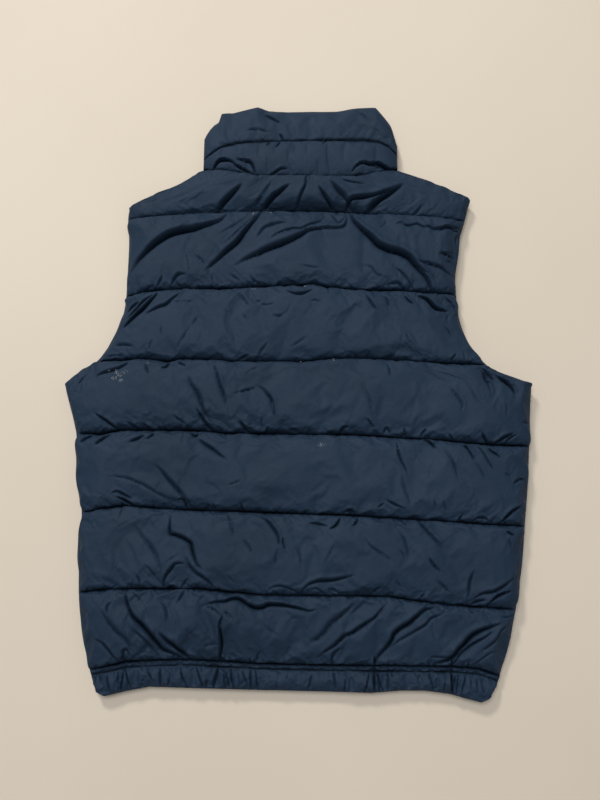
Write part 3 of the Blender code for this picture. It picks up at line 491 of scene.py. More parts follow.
# Cells of the grids before they are made twice as fine, and those of the back's fine grid
CELL = {"back": 2.8, "front": 5.0, "collar": 2.8, "hem": 2.6}
GRID_CELL = CELL["back"] / 2.0

# How each piece fills: pressure, bending stiffness, frames, and the furthest that cloth moves
FILLING = {
    "back": (0.07, 0.03, 26, 13.0),
    "front": (0.3, 0.03, 22, 8.0),
    "collar": (0.0, 0.03, 24, 4.0),
    "hem": (0.25, 0.02, 24, 3.5),
}

# The cloth that the padding fills
CLOTH = {
    "quality": 5, "mass": 0.3,
    "tension_stiffness": 15.0, "compression_stiffness": 15.0, "shear_stiffness": 5.0,
    "tension_damping": 0.5, "compression_damping": 0.5, "shear_damping": 0.5,
    "bending_damping": 0.1,
    "use_pressure": True,
}
SIM_SCALE = 0.01

# How strongly each stitched line of the back puckers, hem to neck
PUCKERED = (0.8, 1.0, 0.8, 0.7, 0.6, 0.8, 0.3, 0.35)

# How dark the shade painted along each stitched line's crease on the back is, hem to neck; darker lines
# also get wider creases
LINE_PAINTED_SHADE = (0.9, 0.9, 0.7, 1.0, 0.6, 0.85, 1.0, 0.7)

# Share of the padding's broad bulge that the weight of the cloth presses flat again
BULGE_PRESSED = 0.8

# Zip: half its width between the fronts, the levels of the chain, its ends, and its teeth's pitch
ZIP_HALF = 7.3
CHAIN_LEVEL = (6.0, 7.4)
CHAIN_ENDS = (3.0, 627.0)
TOOTH_PITCH = 3.3

# Each tape: its middle off the centre line, its width, thickness, and the bead along its inner edge
TAPE_MIDDLE = 3.95
TAPE_WIDTH = 5.9
TAPE_THICK = 0.55
TAPE_LIFT = 0.1
BEAD_WIDTH = 0.4
BEAD_THICK = 1.9
TAPE_EDGE = 0.12

# Stitches: pitch on the back, in the hem band and on the underside
PITCH = 3.3
HEM_PITCH = 3.0
UNDER_PITCH = 3.6

# Camera over the garment: x, h and z, and its turns in degrees
CAMERA_PLACE = (-0.3, 147.6, 1061.4)
CAMERA_TILT = 9.89
CAMERA_ROLL = 1.76
CAMERA_HEADING = -1.063
CAMERA_LENS = 40.5

rng = np.random.default_rng(27)


# ---------------------------------------------------------------- shapes as grids of points


def smoothstep(value):
    value = np.clip(value, 0.0, 1.0)
    return value * value * (3.0 - 2.0 * value)


def quarter_round(distance, radius):
    share = np.clip(distance / radius, 0.0, 1.0)
    return np.sqrt(1.0 - (1.0 - share) ** 2)


def meeting_level(h):
    return np.interp(h, MEETING[:, 0], MEETING[:, 1])


def blurred(field, size):
    """A field over a grid without what is smaller than about size cells."""
    along = np.fft.fftfreq(field.shape[0])[:, None]
    across = np.fft.fftfreq(field.shape[1])[None]
    keep = np.exp(-2.0 * (math.pi * size) ** 2 * (along**2 + across**2))
    return np.real(np.fft.ifft2(np.fft.fft2(field) * keep))


def soft_noise(shape, size, seed):
    """Random bumps of unit height over a grid, each about size cells wide."""
    field = blurred(np.random.default_rng(seed).normal(size=shape), size)
    return field / field.std()


def pillow(distance, grip=2.7):
    """Share of its full height that padded cloth reaches at a distance from a line that holds it
    down: steep beside the line, nearly flat further off."""
    return 1.0 - np.exp(-((np.maximum(distance, 0.0) / grip) ** 0.8))


def eased(count, ease):
    """Shares from 0 to 1, closer together towards both ends."""
    share = np.linspace(0.0, 1.0, count)
    return share - ease * np.sin(2.0 * math.pi * share) / (2.0 * math.pi)


def baffle_rows(step):
    """Centre heights of a body panel's rows, the baffle that each is in, its share of the way up
    that baffle, and the rows that are stitched."""
    heights, baffle, share, stitched = [], [], [], [0]
    for index, (low, high) in enumerate(zip(STITCHED, STITCHED[1:])):
        cells = round((high - low) / step) * (2 if high == STITCHED[-1] else 1)
        shares = eased(cells + 1, 0.4)
        heights += list(low + shares[:-1] * (high - low))
        share += list(shares[:-1])
        baffle += [index] * (len(shares) - 1)
        stitched.append(len(heights))
    heights.append(STITCHED[-1])
    share.append(1.0)
    baffle.append(len(STITCHED) - 2)
    return np.array(heights), np.array(baffle), np.array(share), stitched


def rounded(values, heights):
    """An outline without its kinks, but for those at the garment's corners."""
    soft = values.copy()
    for _ in range(3):
        soft[1:-1] = (soft[:-2] + 2.0 * soft[1:-1] + soft[2:]) / 4.0
    away = np.min([np.abs(heights - corner) for corner in CORNERS], axis=0)
    keep = np.clip(1.0 - away / 7.0, 0.0, 1.0)
    return keep * values + (1.0 - keep) * soft


def outlines(heights):
    """The outline through these heights: the left point's x and h, the centre height of the back
    and of the fronts, the right point's x and h, and the bow of the lines between them."""
    return [
        rounded(np.interp(heights, SECTIONS[:, 2], SECTIONS[:, k]), heights)[:, None]
        for k in range(SECTIONS.shape[1])
    ]


def bowed(x, left_x, left_h, centre_h, right_x, right_h, bow):
    end_x = np.where(x < 0.0, left_x, right_x)
    end_h = np.where(x < 0.0, left_h, right_h)
    return centre_h + (end_h - centre_h) * np.abs(x / end_x) ** bow


def side_distance(x, h, left_x, left_h, right_x, right_h):
    """Distance of each point to the side outline of its row's neighbourhood."""
    reach = np.minimum(x - left_x, right_x - x)
    for ex, eh in ((left_x, left_h), (right_x, right_h)):
        for k in range(0, len(ex), 3):
            near = np.hypot(x - ex[k, 0], h - eh[k, 0])
            reach = np.minimum(reach, near)
    return reach


def ripple_of(line_h, x, row_h):
    """How far a quilting line lies off its smooth bow at each x."""
    table = np.array(QUILTING[line_h], float)
    return np.interp(x, table[:, 0], table[:, 1]) - row_h


def drawn_sides(left_x, right_x, heights):
    """The side outline, drawn in a little where each quilting line ends and uneven between."""
    for line in STITCHED[1:-1]:
        pull = np.exp(-(((heights - line) / DRAWN_OVER) ** 2))[:, None]
        left_x, right_x = left_x + DRAWN_IN * pull, right_x - DRAWN_IN * pull
    waver = 0.9 * soft_noise((len(heights), 2), 2.5, 41)
    return left_x + waver[:, :1], right_x + waver[:, 1:]


def back_grid(step):
    heights, baffle, share, stitched = baffle_rows(step)
    left_x, left_h, back_h, _, right_x, right_h, bow = outlines(heights)
    across = eased(round(BACK_WIDTH / step), 0.25)[None]
    left_x, right_x = drawn_sides(left_x, right_x, heights)
    x = left_x + (right_x - left_x) * across
    h = bowed(x, left_x, left_h, back_h, right_x, right_h, bow)
    ripple = np.zeros_like(h)
    for index, row in enumerate(stitched):
        off = ripple_of(STITCHED[index], x[row], h[row])
        off = off * smoothstep(across[0] / 0.04) * smoothstep((1.0 - across[0]) / 0.04)
        for other in (index - 1, index):
            if 0 <= other < len(STITCHED) - 1:
                rows = np.nonzero(baffle == other)[0]
                near = share[rows] if other == index - 1 else 1.0 - share[rows]
                ripple[rows] += smoothstep(near)[:, None] * off[None]
        if index == len(STITCHED) - 1:
            ripple[row] = off
    h = h + ripple
    h[0] += SEAM_HALF
    h[-1] -= SEAM_HALF
    reach = side_distance(x, h, left_x, left_h, right_x, right_h)
    roll = quarter_round(reach, BACK_ROUND)
    crest, lean = BAFFLES[baffle].T[..., None]
    span = np.diff(STITCHED)[baffle][:, None]
    risen = pillow(span * share[:, None] ** lean) * pillow(span * (1.0 - share[:, None] ** lean))
    puff = risen / pillow(span / 2.0) ** 2
    yoke = (baffle == len(BAFFLES) - 1)[:, None]
    dome = 0.85 * quarter_round(span * share[:, None], YOKE_ROUND)
    dome = dome + 0.15 * pillow(span * (1.0 - share[:, None])) * share[:, None] ** 0.3
    dome = dome * (0.85 + 0.55 * np.exp(-(((x - YOKE_MIDDLE) / YOKE_HALF) ** 2)))
    puff = np.where(yoke, dome, puff)
    puff = np.where((baffle == 0)[:, None], puff * (0.72 + 0.28 * share[:, None]), puff)
    uneven = 1.0 + 0.08 * soft_noise(x.shape, 14.0, 3)
    edge = meeting_level(h) + LAYER_HALF + EDGE_THICK
    z = edge + EDGE_RISE * roll + crest * puff * roll * uneven
    z[-1] = edge[-1] + (EDGE_RISE + NECK_RISE) * roll[-1]
    return np.stack([x, h, z], -1), stitched


def under_levels(edge, full, roll):
    """Levels of a hidden side from its edge's level: lowest, on the floor, where it is fullest."""
    return edge - (edge * 0.35 + edge * 0.62 * full) * roll


def front_grid(side, step):
    heights, baffle, share, stitched = baffle_rows(step)
    left_x, left_h, _, front_h, right_x, right_h, bow = outlines(heights)
    bow = np.where(heights[:, None] > STITCHED[-2], FRONT_BOW, bow)
    end = right_x if side > 0 else left_x
    across = eased(round(FRONT_WIDTH / step), 0.25)[None]
    x = side * ZIP_HALF + (end - side * ZIP_HALF) * across
    h = bowed(x, left_x, left_h, front_h, right_x, right_h, bow)
    h[0] += SEAM_HALF
    h[-1] -= SEAM_HALF
    reach = side_distance(x, h, left_x, left_h, right_x, right_h)
    reach = np.minimum(reach, np.abs(x) - ZIP_HALF)
    puff = np.sin(math.pi * share[:, None]) ** 0.5
    edge = meeting_level(h) - LAYER_HALF - EDGE_THICK
    z = under_levels(edge, puff, quarter_round(reach, FRONT_ROUND))
    return np.stack([x, h, z], -1), stitched


def band_columns(left, right, step):
    """Columns of a flattened band, from the zip round its left fold, over the back and round its
    right fold to the zip again: whether each is on top, and its x."""
    near = np.array(FOLD_STEPS)
    left_end, right_end = left + FOLD_WIDTH, right - FOLD_WIDTH
    over = np.arange(left_end, right_end + 1.0, step)
    top = np.concatenate([left + near, over, right - near[::-1]])
    under_left = np.concatenate([np.linspace(-ZIP_HALF, left_end, UNDER_COLUMNS), left + near[::-1]])
    under_right = np.concatenate([right - near, np.linspace(right_end, ZIP_HALF, UNDER_COLUMNS)])
    on_top = [False] * len(under_left) + [True] * len(top) + [False] * len(under_right)
    return np.array(on_top)[None], np.concatenate([under_left, top, under_right])[None]


def seam_heights(row, x, front):
    """Height at x of the hem seam (row 0) or the neck seam (row -1) on the back or the fronts."""
    left_x, left_h, _, front_h, right_x, right_h, bow = SECTIONS[row]
    if front and row == -1:
        bow = FRONT_BOW
    if front:
        return bowed(x, left_x, left_h, front_h, right_x, right_h, bow)
    table = np.array(QUILTING[STITCHED[row]], float)
    return np.interp(x, table[:, 0], table[:, 1])


def hem_grid(step):
    left, right = SECTIONS[0, 0], SECTIONS[0, 4]
    on_top, x = band_columns(left, right, step)
    seam = np.where(on_top, seam_heights(0, x, False), seam_heights(0, x, True)) - SEAM_HALF
    low = np.interp(x, HEM_EDGE[:, 0], HEM_EDGE[:, 1])
    height = seam - low
    stitch_share = 1.0 - TOPSTITCH / height
    lower = np.linspace(0.0, 1.0, round(31.0 / step) + 1)[:-1, None] * stitch_share
    upper = stitch_share + np.linspace(0.0, 1.0, 5)[:, None] * (1.0 - stitch_share)
    share = np.concatenate([lower, upper])
    stitched = [0, len(lower), len(share) - 1]
    h = low + share * height
    narrowed = x * (HEM_WIDTH[0] + HEM_WIDTH[1] * share)
    from_fold = np.minimum(x - left, right - x)
    over_stitch = np.clip((share - stitch_share) / (1.0 - stitch_share), 0.0, 1.0)
    under_stitch = np.clip(share / stitch_share, 0.0, 1.0)
    body = np.sin(math.pi * under_stitch**0.8) ** 0.6 * HEM_FULL[0]
    body = body + np.sin(math.pi * over_stitch) * HEM_FULL[1]
    meet = meeting_level(h)
    fold, belly = (quarter_round(from_fold, radius) for radius in HEM_FOLD_ROUND)
    top = meet + 1.2 + 1.6 * fold + body * belly
    from_edge = np.minimum(np.minimum(from_fold, np.abs(x) - ZIP_HALF), share * height + 1.0)
    edge = meet - LAYER_HALF - EDGE_THICK
    under = edge * (1.0 - quarter_round(from_edge, HEM_UNDER_ROUND)) + 0.4
    return np.stack([narrowed, h, np.where(on_top, top, under)], -1), stitched, on_top[0], x[0]


def above_rim(above):
    """How the collar's upper channel thins towards its rim."""
    return np.sqrt(np.clip(1.0 - above, 0.0, 1.0)) ** 0.8


def collar_grid(step):
    left, right = COLLAR_TOP[0, 0], COLLAR_TOP[-1, 0]
    on_top, x = band_columns(left, right, step)
    back_low = seam_heights(-1, x, False) + SEAM_HALF
    front_low = seam_heights(-1, x, True) + SEAM_HALF
    back_high = np.interp(x, COLLAR_TOP[:, 0], COLLAR_TOP[:, 1])
    back_high = back_high + RIM_RISE * smoothstep((back_high - 655.0) / 20.0)
    fold_h = np.where(x < 0.0, COLLAR_TOP[0, 1], COLLAR_TOP[-1, 1])
    fold_stand = fold_h - np.where(x < 0.0, SECTIONS[-1, 1], SECTIONS[-1, 5])
    bend = np.abs(x / np.where(x < 0.0, left, right)) ** STAND_BOW
    front_high = front_low + COLLAR_STAND + (fold_stand - COLLAR_STAND) * bend
    back_line = np.interp(x, COLLAR_LINE[:, 0], COLLAR_LINE[:, 1])
    front_line = front_low + (front_high - front_low) * 0.5
    low = np.where(on_top, back_low, front_low)
    high = np.where(on_top, back_high, front_high)
    line = np.where(on_top, back_line, front_line)
    lower = eased(round(45.0 / step) + 1, 0.4)[:-1, None]
    upper = eased(round(42.0 / step) + 1, 0.3)[:, None]
    h = np.concatenate([low + (line - low) * lower, line + (high - line) * upper])
    share = np.concatenate([np.sin(math.pi * lower) ** 0.55, np.sin(math.pi * upper**0.62) ** 0.6])
    stitched = [0, len(lower), len(h) - 1]
    from_fold = np.minimum(x - left, right - x)
    seam_level = meeting_level(low) + LAYER_HALF + 2.8 + NECK_RISE
    below = np.clip((h - low) / (line - low), 0.0, 1.0)
    above = np.clip((h - line) / (high - line), 0.0, 1.0)
    plain = seam_level + (LINE_LEVEL - seam_level) * smoothstep(below)
    plain = plain + (RIM_LEVEL - LINE_LEVEL) * above**2.2
    puffed = 2.6 * pillow(h - low) * pillow(line - h) + pillow(h - line, 6.0) * above_rim(above)
    fold_level = meeting_level(h) + LAYER_HALF + 1.4
    stand = RIM_BASE + (plain + puffed - RIM_BASE) * quarter_round(high - h, RIM_ROUND)
    top = fold_level + (stand - fold_level) * quarter_round(from_fold, FOLD_ROUND)
    reach = np.minimum(np.minimum(from_fold, np.abs(x) - ZIP_HALF), high - h)
    edge = meeting_level(h) - LAYER_HALF - EDGE_THICK
    z = np.where(on_top, top, under_levels(edge, share, quarter_round(reach, UNDER_ROUND)))
    return np.stack([np.broadcast_to(x, h.shape), h, z], -1), stitched, on_top[0], plain


# ---------------------------------------------------------------- filling, folding and pressing


def to_frame(points):
    """Millimetres of the garment to metres of the frame."""
    return (points - np.array((*ORIGIN, 0.0))) * MM


def grid_faces(rows, columns, first=0):
    index = first + np.arange(rows * columns).reshape(rows, columns)
    corners = (index[:-1, :-1], index[:-1, 1:], index[1:, 1:], index[1:, :-1])
    return np.stack([c.ravel() for c in corners], -1)


def fill_with_padding(name, points, held, slack, pressure, bending, frames, cap):
    """Cloth over padding: a share of spare cloth at each point, pinned where it is stitched,
    pushed out by the filling until it wrinkles. Returns the points as they then lie."""
    rows, columns = points.shape[:2]
    mesh = bpy.data.meshes.new(name)
    flat = (points * SIM_SCALE).reshape(-1, 3).tolist()
    mesh.from_pydata(flat, [], grid_faces(rows, columns).tolist())
    cloth = bpy.data.objects.new(name, mesh)
    bpy.context.scene.collection.objects.link(cloth)
    pins = cloth.vertex_groups.new(name="stitched")
    pins.add(np.nonzero(held.ravel())[0].tolist(), 1.0, "REPLACE")
    tight = cloth.vertex_groups.new(name="tight")
    most = float(slack.max())
    tenths = np.round(slack.ravel() / most, 1)
    for level in np.unique(tenths):
        chosen = np.nonzero(np.isclose(tenths, level))[0]
        tight.add(chosen.tolist(), 1.0 - float(level), "REPLACE")
    made = cloth.modifiers.new("Padding", "CLOTH")
    settings = made.settings
    for key, value in CLOTH.items():
        setattr(settings, key, value)
    settings.vertex_group_mass = "stitched"
    settings.vertex_group_shrink = "tight"
    settings.shrink_min = -most
    settings.shrink_max = 0.0
    settings.bending_stiffness = bending
    settings.uniform_pressure_force = pressure
    settings.effector_weights.gravity = 0.0
    made.collision_settings.use_collision = False
    made.point_cache.frame_start = 1
    made.point_cache.frame_end = frames
    for number in range(1, frames + 1):
        bpy.context.scene.frame_set(number)
    settled = cloth.evaluated_get(bpy.context.evaluated_depsgraph_get())
    lain = np.zeros(rows * columns * 3)
    settled.data.vertices.foreach_get("co", lain)
    moved = lain.reshape(rows, columns, 3) / SIM_SCALE - points
    bpy.data.objects.remove(cloth)
    bpy.data.meshes.remove(mesh)
    bpy.context.scene.frame_set(1)
    length = np.linalg.norm(moved, axis=-1, keepdims=True)
    return points + moved * np.minimum(1.0, cap / np.maximum(length, 1e-6))


def finer_along(points):
    """Twice as many points along the first axis, on a smooth surface through the old ones."""
    before = 2.0 * points[:1] - points[1:2]
    after = 2.0 * points[-1:] - points[-2:-1]
    padded = np.concatenate([before, points, after])
    middle = (9.0 * (padded[1:-2] + padded[2:-1]) - padded[:-3] - padded[3:]) / 16.0
    made = np.empty((2 * len(points) - 1,) + points.shape[1:])
    made[::2] = points
    made[1::2] = middle
    return made


def finer_across(points):
    """The same along the second axis."""
    return finer_along(points.swapaxes(0, 1)).swapaxes(0, 1)


def finer(points, stitched):
    """Twice as fine a grid both ways. A stitched row stays a crease."""
    strips = [
        finer_along(points[low : high + 1])[: None if high == stitched[-1] else -1]
        for low, high in zip(stitched, stitched[1:])
    ]
    return finer_across(np.concatenate(strips)), [2 * row for row in stitched]


def smooth_path(corners, wobble):
    """A curved path through a fold's points, with a little unevenness of its own."""
    count = len(corners)
    place = np.linspace(0.0, count - 1.0, 5 * (count - 1) + 1)
    cell = np.minimum(place.astype(int), count - 2)
    t = (place - cell)[:, None]
    before, after = 2 * corners[:1] - corners[1:2], 2 * corners[-1:] - corners[-2:-1]
    ends = np.concatenate([before, corners, after])
    a, b, c, d = (ends[cell + k] for k in range(4))
    path = 0.5 * (
        2 * b + (c - a) * t + (2 * a - 5 * b + 4 * c - d) * t**2 + (3 * b - a - 3 * c + d) * t**3
    )
    waver = rng.normal(0.0, wobble, (len(path) + 8, 2)).cumsum(0)
    waver = (waver[8:] - waver[:-8]) / 3.0
    return path + waver


def nearest_on(path, spots):
    """For each spot, the way to it from the nearest place on a path, how far that is, the path's
    course there, and the share of the path walked by then."""
    start, step = path[:-1], np.diff(path, axis=0)
    length = np.linalg.norm(step, axis=1)
    offset = spots[:, None] - start[None]
    along = np.clip((offset * step[None]).sum(-1) / (length**2)[None], 0.0, 1.0)
    gap = offset - along[..., None] * step[None]
    gaps = np.linalg.norm(gap, axis=-1)
    best = gaps.argmin(1)
    picked = np.arange(len(best))
    walked = np.concatenate([[0.0], np.cumsum(length)])
    share = (walked[best] + along[picked, best] * length[best]) / walked[-1]
    return gap[picked, best], gaps[picked, best], step[best] / length[best, None], share


def press_fold(points, level, painted_shade, depth, width, rise, numbers):
    """Presses one crease into the grid. The cloth rolls over into it on the side nearer the neck,
    and comes up steeply on its other side. The nearest points move on to the crease, so that its
    bottom is one clean line. painted_shade gets the shade painted in its core and under its roll."""
    small = min(1.0, 0.5 + 0.1 * depth)
    corners = np.array(numbers, float).reshape(-1, 2)
    whole = np.linalg.norm(np.diff(corners, axis=0), axis=1).sum()
    width = min(width * small, max(1.2, 0.08 * whole + 0.2))
    path = smooth_path(corners, 0.08 * width)
    reach = 4.0 * width + 2.0
    x, h, z = points[..., 0], points[..., 1], points[..., 2]
    near = (x > path[:, 0].min() - reach) & (x < path[:, 0].max() + reach)
    near &= (h > path[:, 1].min() - reach) & (h < path[:, 1].max() + reach)
    if not near.any():
        return
    gap, distance, course, walked = nearest_on(path, np.stack([x[near], h[near]], -1))
    turn = course[:, 1] * gap[:, 0] - course[:, 0] * gap[:, 1]
    heading = path[-1] - path[0]
    upper = np.sign(heading[1] * ROLL_SIDE[0] - heading[0] * ROLL_SIDE[1])
    taper = np.sin(math.pi * np.clip(walked, 0.0, 1.0)) ** 0.9
    snap = (distance < 0.5 * GRID_CELL * np.abs(course).max(1)) & (taper > 0.1)
    x[near] -= gap[:, 0] * snap
    h[near] -= gap[:, 1] * snap
    distance = np.where(snap, 0.0, np.hypot(distance, CREASE_FLOOR) - CREASE_FLOOR)
    wide = width * (0.3 + 0.7 * taper)

    # Half widths from the bottom: beside is more than 0 under the roll, far on the other side
    beside = np.sign(turn) * upper * distance / wide
    roll = (1.0 - np.clip(beside / 1.3, 0.0, 1.0)) ** 1.7
    far = np.maximum(-beside, 0.0)
    flat = 0.85 * np.exp(-far / 0.28) + 0.15 * np.exp(-((far / 1.3) ** 1.5))
    trough = np.where(beside > 0.0, roll, flat)
    swell = rise * np.exp(-(((beside - 1.5) / 1.0) ** 2)) * (beside > 0.0)
    room = z[near] - level[near]
    depth *= small
    sunk = np.exp(-1.6 * depth * taper * trough / np.maximum(room, 1.0))
    risen = 0.8 * depth * taper * swell * np.clip(room / 4.0, 0.0, 1.0)
    z[near] = level[near] + room * sunk + risen

    # The core of a crease gets painted shade, and so does what the roll shades beside a deep one
    under = np.maximum(beside, 0.0)
    core = np.exp(-((under / 0.42) ** 1.4)) * np.exp(-((far / 0.2) ** 2))
    shaded = 0.85 * np.exp(-((under / 0.8) ** 2)) * np.exp(-((far / 0.25) ** 2))
    core = np.maximum(core * min(1.0, (depth / 4.5) ** 1.4), shaded * min(1.0, (depth / 5.5) ** 1.6))
    painted_shade[near] = np.maximum(painted_shade[near], core * np.sqrt(taper))


def pucker(points, level, painted_shade, row, side, least, most, strength=1.0):
    """Short, fine puckers that run off a stitched row on one side of it, with shade painted in their
    hollows.
    """
    rows, columns = points.shape[:2]
    span = []
    at = row + side
    line_h = points[row, :, 1]
    while 0 <= at < rows and np.abs(points[at, :, 1] - line_h).mean() < 17.0:
        span.append(at)
        at += side
    if not span:
        return
    strip_x = points[span, :, 0]
    strip_d = np.abs(points[span, :, 1] - line_h[None])
    middle_x = points[row, :, 0]
    change = np.zeros_like(strip_x)
    shade = np.zeros_like(strip_x)
    x = middle_x[0] + 6.0
    while x < middle_x[-1] - 6.0:
        length = rng.uniform(least, most) * (1.8 if rng.random() < 0.15 else 1.0)
        width = rng.uniform(0.7, 1.1)
        depth = strength * rng.uniform(0.6, 3.2)
        slant = rng.normal(0.0, 0.9)
        bend = rng.normal(0.0, 0.05)
        low = int(np.searchsorted(middle_x, x - 16.0))
        high = int(np.searchsorted(middle_x, x + 16.0))
        off = strip_d[:, low:high]
        away = strip_x[:, low:high] - x - slant * off - bend * off**2
        share = off / length
        taper = np.clip(share * 5.0, 0.0, 1.0) * np.clip(1.0 - share, 0.0, 1.0)
        narrowed = width * (1.2 - 0.5 * np.clip(share, 0.0, 1.0)) * math.hypot(1.0, slant)
        hollow = np.exp(-((np.abs(away) / narrowed) ** 1.4))
        swell = 0.22 * np.exp(-(((away + 2.3 * width) / (1.4 * width)) ** 2))
        change[:, low:high] += depth * taper * (swell - hollow)
        # Shade painted into each pucker's hollow
        shade[:, low:high] = np.maximum(shade[:, low:high], 0.2 * depth * np.sqrt(taper) * hollow)
        x += 2.0 + rng.exponential(6.5)
    room = points[span, :, 2] - level[span]
    change *= np.clip(room / 3.0, 0.0, 1.0)
    points[span, :, 2] = level[span] + np.maximum(room + change, 0.3 * room)
    painted_shade[span] = np.maximum(painted_shade[span], shade)


def draw_in(points, painted_shade, row, draw, depth, wide=1.3, dark=1.0):
    """A stitched row pulls the cloth on both sides of it together, over a narrow crease with shade
    painted along it.
    """
    off = points[..., 1] - points[row, :, 1]
    gap = np.abs(off)
    points[..., 1] -= np.sign(off) * draw * (1.0 - np.exp(-gap / 1.2)) * np.exp(-gap / 9.0)
    uneven = np.clip(soft_noise((1, points.shape[1]), 5.0, row), -1.5, 1.5)
    wide = wide * (1.0 + 0.3 * uneven)
    points[..., 2] -= depth * np.exp(-((gap / wide) ** 2))
    # Painted shade along the crease, darkest at the stitched row
    dark = np.clip(dark * (1.0 + 0.25 * uneven), 0.0, 1.0)
    np.maximum(painted_shade, dark * np.exp(-((gap / (1.15 * wide)) ** 2)), out=painted_shade)


def rest_on_floor(z, least=0.3):
    """Levels under the floor's contact flatten onto it softly."""
    return np.where(z < 1.5, least + 1.2 * np.exp(np.minimum((z - 1.5) / 1.2, 0.0)), z)


# ---------------------------------------------------------------- closed pieces from grids


def creased_faces(points, first=0):
    """Two triangles for each cell of a grid, split along its shorter diagonal, so that a fold that
    runs slantwise has a clean edge."""
    quads = grid_faces(*points.shape[:2])
    a, b, c, d = (points.reshape(-1, 3)[quads[:, k]] for k in range(4))
    other = (np.linalg.norm(a - c, axis=1) > np.linalg.norm(b - d, axis=1))[:, None]
    near = np.where(other, quads[:, [0, 1, 3]], quads[:, [0, 1, 2]])
    far = np.where(other, quads[:, [1, 2, 3]], quads[:, [0, 2, 3]])
    return (np.concatenate([near, far]) + first).tolist()


def new_piece(name, vertices, faces, material, sharp=60.0, painted_shade=()):
    mesh = bpy.data.meshes.new(name)
    mesh.from_pydata(to_frame(vertices).tolist(), [], faces)
    # Shade painted into creases goes on the mesh as a point attribute
    if len(painted_shade):
        painted_crease_shade = np.zeros(len(vertices))
        painted_crease_shade[: len(painted_shade)] = painted_shade
        mesh.attributes.new("painted_shade", "FLOAT", "POINT").data.foreach_set("value", painted_crease_shade)
    mesh.validate()
    mesh.update()
    mesh.shade_smooth()
    mesh.set_sharp_from_angle(angle=math.radians(sharp))
    mesh.materials.append(material)
    piece = bpy.data.objects.new(name, mesh)
    bpy.context.scene.collection.objects.link(piece)
    return piece


def panel_piece(name, outer, inside, painted_shade, material, under=False):
    """Closes a body panel: the quilted outer side over a plain inside that spans its rows."""
    rows, columns = outer.shape[:2]
    count = rows * columns
    index = np.arange(count).reshape(rows, columns)
    left, right = outer[:, 0].copy(), outer[:, -1].copy()
    left[:, 2] = inside[:, 0]
    right[:, 2] = inside[:, -1]
    vertices = np.concatenate([outer.reshape(-1, 3), left, right])
    lefts = count + np.arange(rows)
    rights = lefts + rows
    faces = creased_faces(outer)
    for k in range(rows - 1):
        faces.append([lefts[k], lefts[k + 1], rights[k + 1], rights[k]])
        faces.append([lefts[k], index[k, 0], index[k + 1, 0], lefts[k + 1]])
        faces.append([rights[k], rights[k + 1], index[k + 1, -1], index[k, -1]])
    faces.append([lefts[0], rights[0]] + list(index[0, ::-1]))
    faces.append([rights[-1], lefts[-1]] + list(index[-1]))
    faces = [[int(i) for i in face] for face in faces]
    if under:
        faces = [face[::-1] for face in faces]
    return new_piece(name, vertices, faces, material, painted_shade=painted_shade.ravel())


def select_only(thing):
    bpy.ops.object.select_all(action="DESELECT")
    thing.select_set(True)
    bpy.context.view_layer.objects.active = thing


def template(add, shape, modifiers=()):
    """Mesh of one small part, made from a primitive and shaped once, to be copied many times."""
    bpy.ops.object.select_all(action="DESELECT")
    add()
    made = bpy.context.active_object
    shape(made)
    for kind, values in modifiers:
        modifier = made.modifiers.new(kind.title(), kind)
        for key, value in values.items():
            setattr(modifier, key, value)
        select_only(made)
        bpy.ops.object.modifier_apply(modifier=modifier.name)
    co = np.array([v.co for v in made.data.vertices])
    faces = [list(p.vertices) for p in made.data.polygons]
    bpy.data.objects.remove(made)
    return co, faces


def copies(name, part, places, material):
    """One mesh of a small part at many places, each an origin and three axes."""
    co, faces = part
    vertices = np.concatenate([at + co @ np.array(axes) for at, axes in places])
    joined = []
    for k in range(len(places)):
        joined += [[i + k * len(co) for i in face] for face in faces]
    return new_piece(name, vertices, joined, material, 40.0)


def stitches(name, runs, part, material):
    """Stitches along runs of points, one after another with a gap between them."""
    places = []
    for points, pitch, facing in runs:
        walked = np.concatenate([[0.0], np.cumsum(np.linalg.norm(np.diff(points, axis=0), axis=1))])
        for at in np.arange(pitch, walked[-1] - pitch, pitch):
            spot = np.array([np.interp(at, walked, points[:, k]) for k in range(3)])
            ahead = np.array([np.interp(at + 1.0, walked, points[:, k]) for k in range(3)])
            along = (ahead - spot) / np.linalg.norm(ahead - spot)
            out = np.array((0.0, 0.0, facing))
            beside = np.cross(out, along)
            beside /= np.linalg.norm(beside)
            out = np.cross(along, beside)
            places.append((spot, (along, beside, out)))
    return copies(name, part, places, material)


# ---------------------------------------------------------------- finishes


def node(tree, kind, links=(), values=(), **settings):
    """A shader node with its settings, its linked inputs and its fixed inputs."""
    made = tree.nodes.new(kind)
    for key, value in settings.items():
        setattr(made, key, value)
    for key, value in values:
        made.inputs[key].default_value = value
    for key, source in links:
        tree.links.new(source, made.inputs[key])
    return made


def finish(name, **sockets):
    """A material with its shader's plain sockets set. Returns it, its tree, its shader and the
    coordinates of the surface."""
    material = bpy.data.materials.new(name)
    material.use_nodes = True
    tree = material.node_tree
    shader = tree.nodes["Principled BSDF"]
    for key, value in sockets.items():
        shader.inputs[key.replace("_", " ")].default_value = value
    place = node(tree, "ShaderNodeTexCoord").outputs["Object"]
    return material, tree, shader, place


def drive(tree, shader, **sources):
    """Links the shader's sockets to what drives them."""
    for key, source in sources.items():
        tree.links.new(source, shader.inputs[key.replace("_", " ")])


def blend(tree, factor, first, second, **settings):
    """Two colours mixed. Each argument is a value or another node's output."""
    inputs = {"Factor": factor, "A": first, "B": second}
    linked = [(k, v) for k, v in inputs.items() if isinstance(v, bpy.types.NodeSocket)]
    fixed = [(k, v) for k, v in inputs.items() if not isinstance(v, bpy.types.NodeSocket)]
    made = node(tree, "ShaderNodeMix", linked, fixed, data_type="RGBA", **settings)
    return made.outputs["Result"]


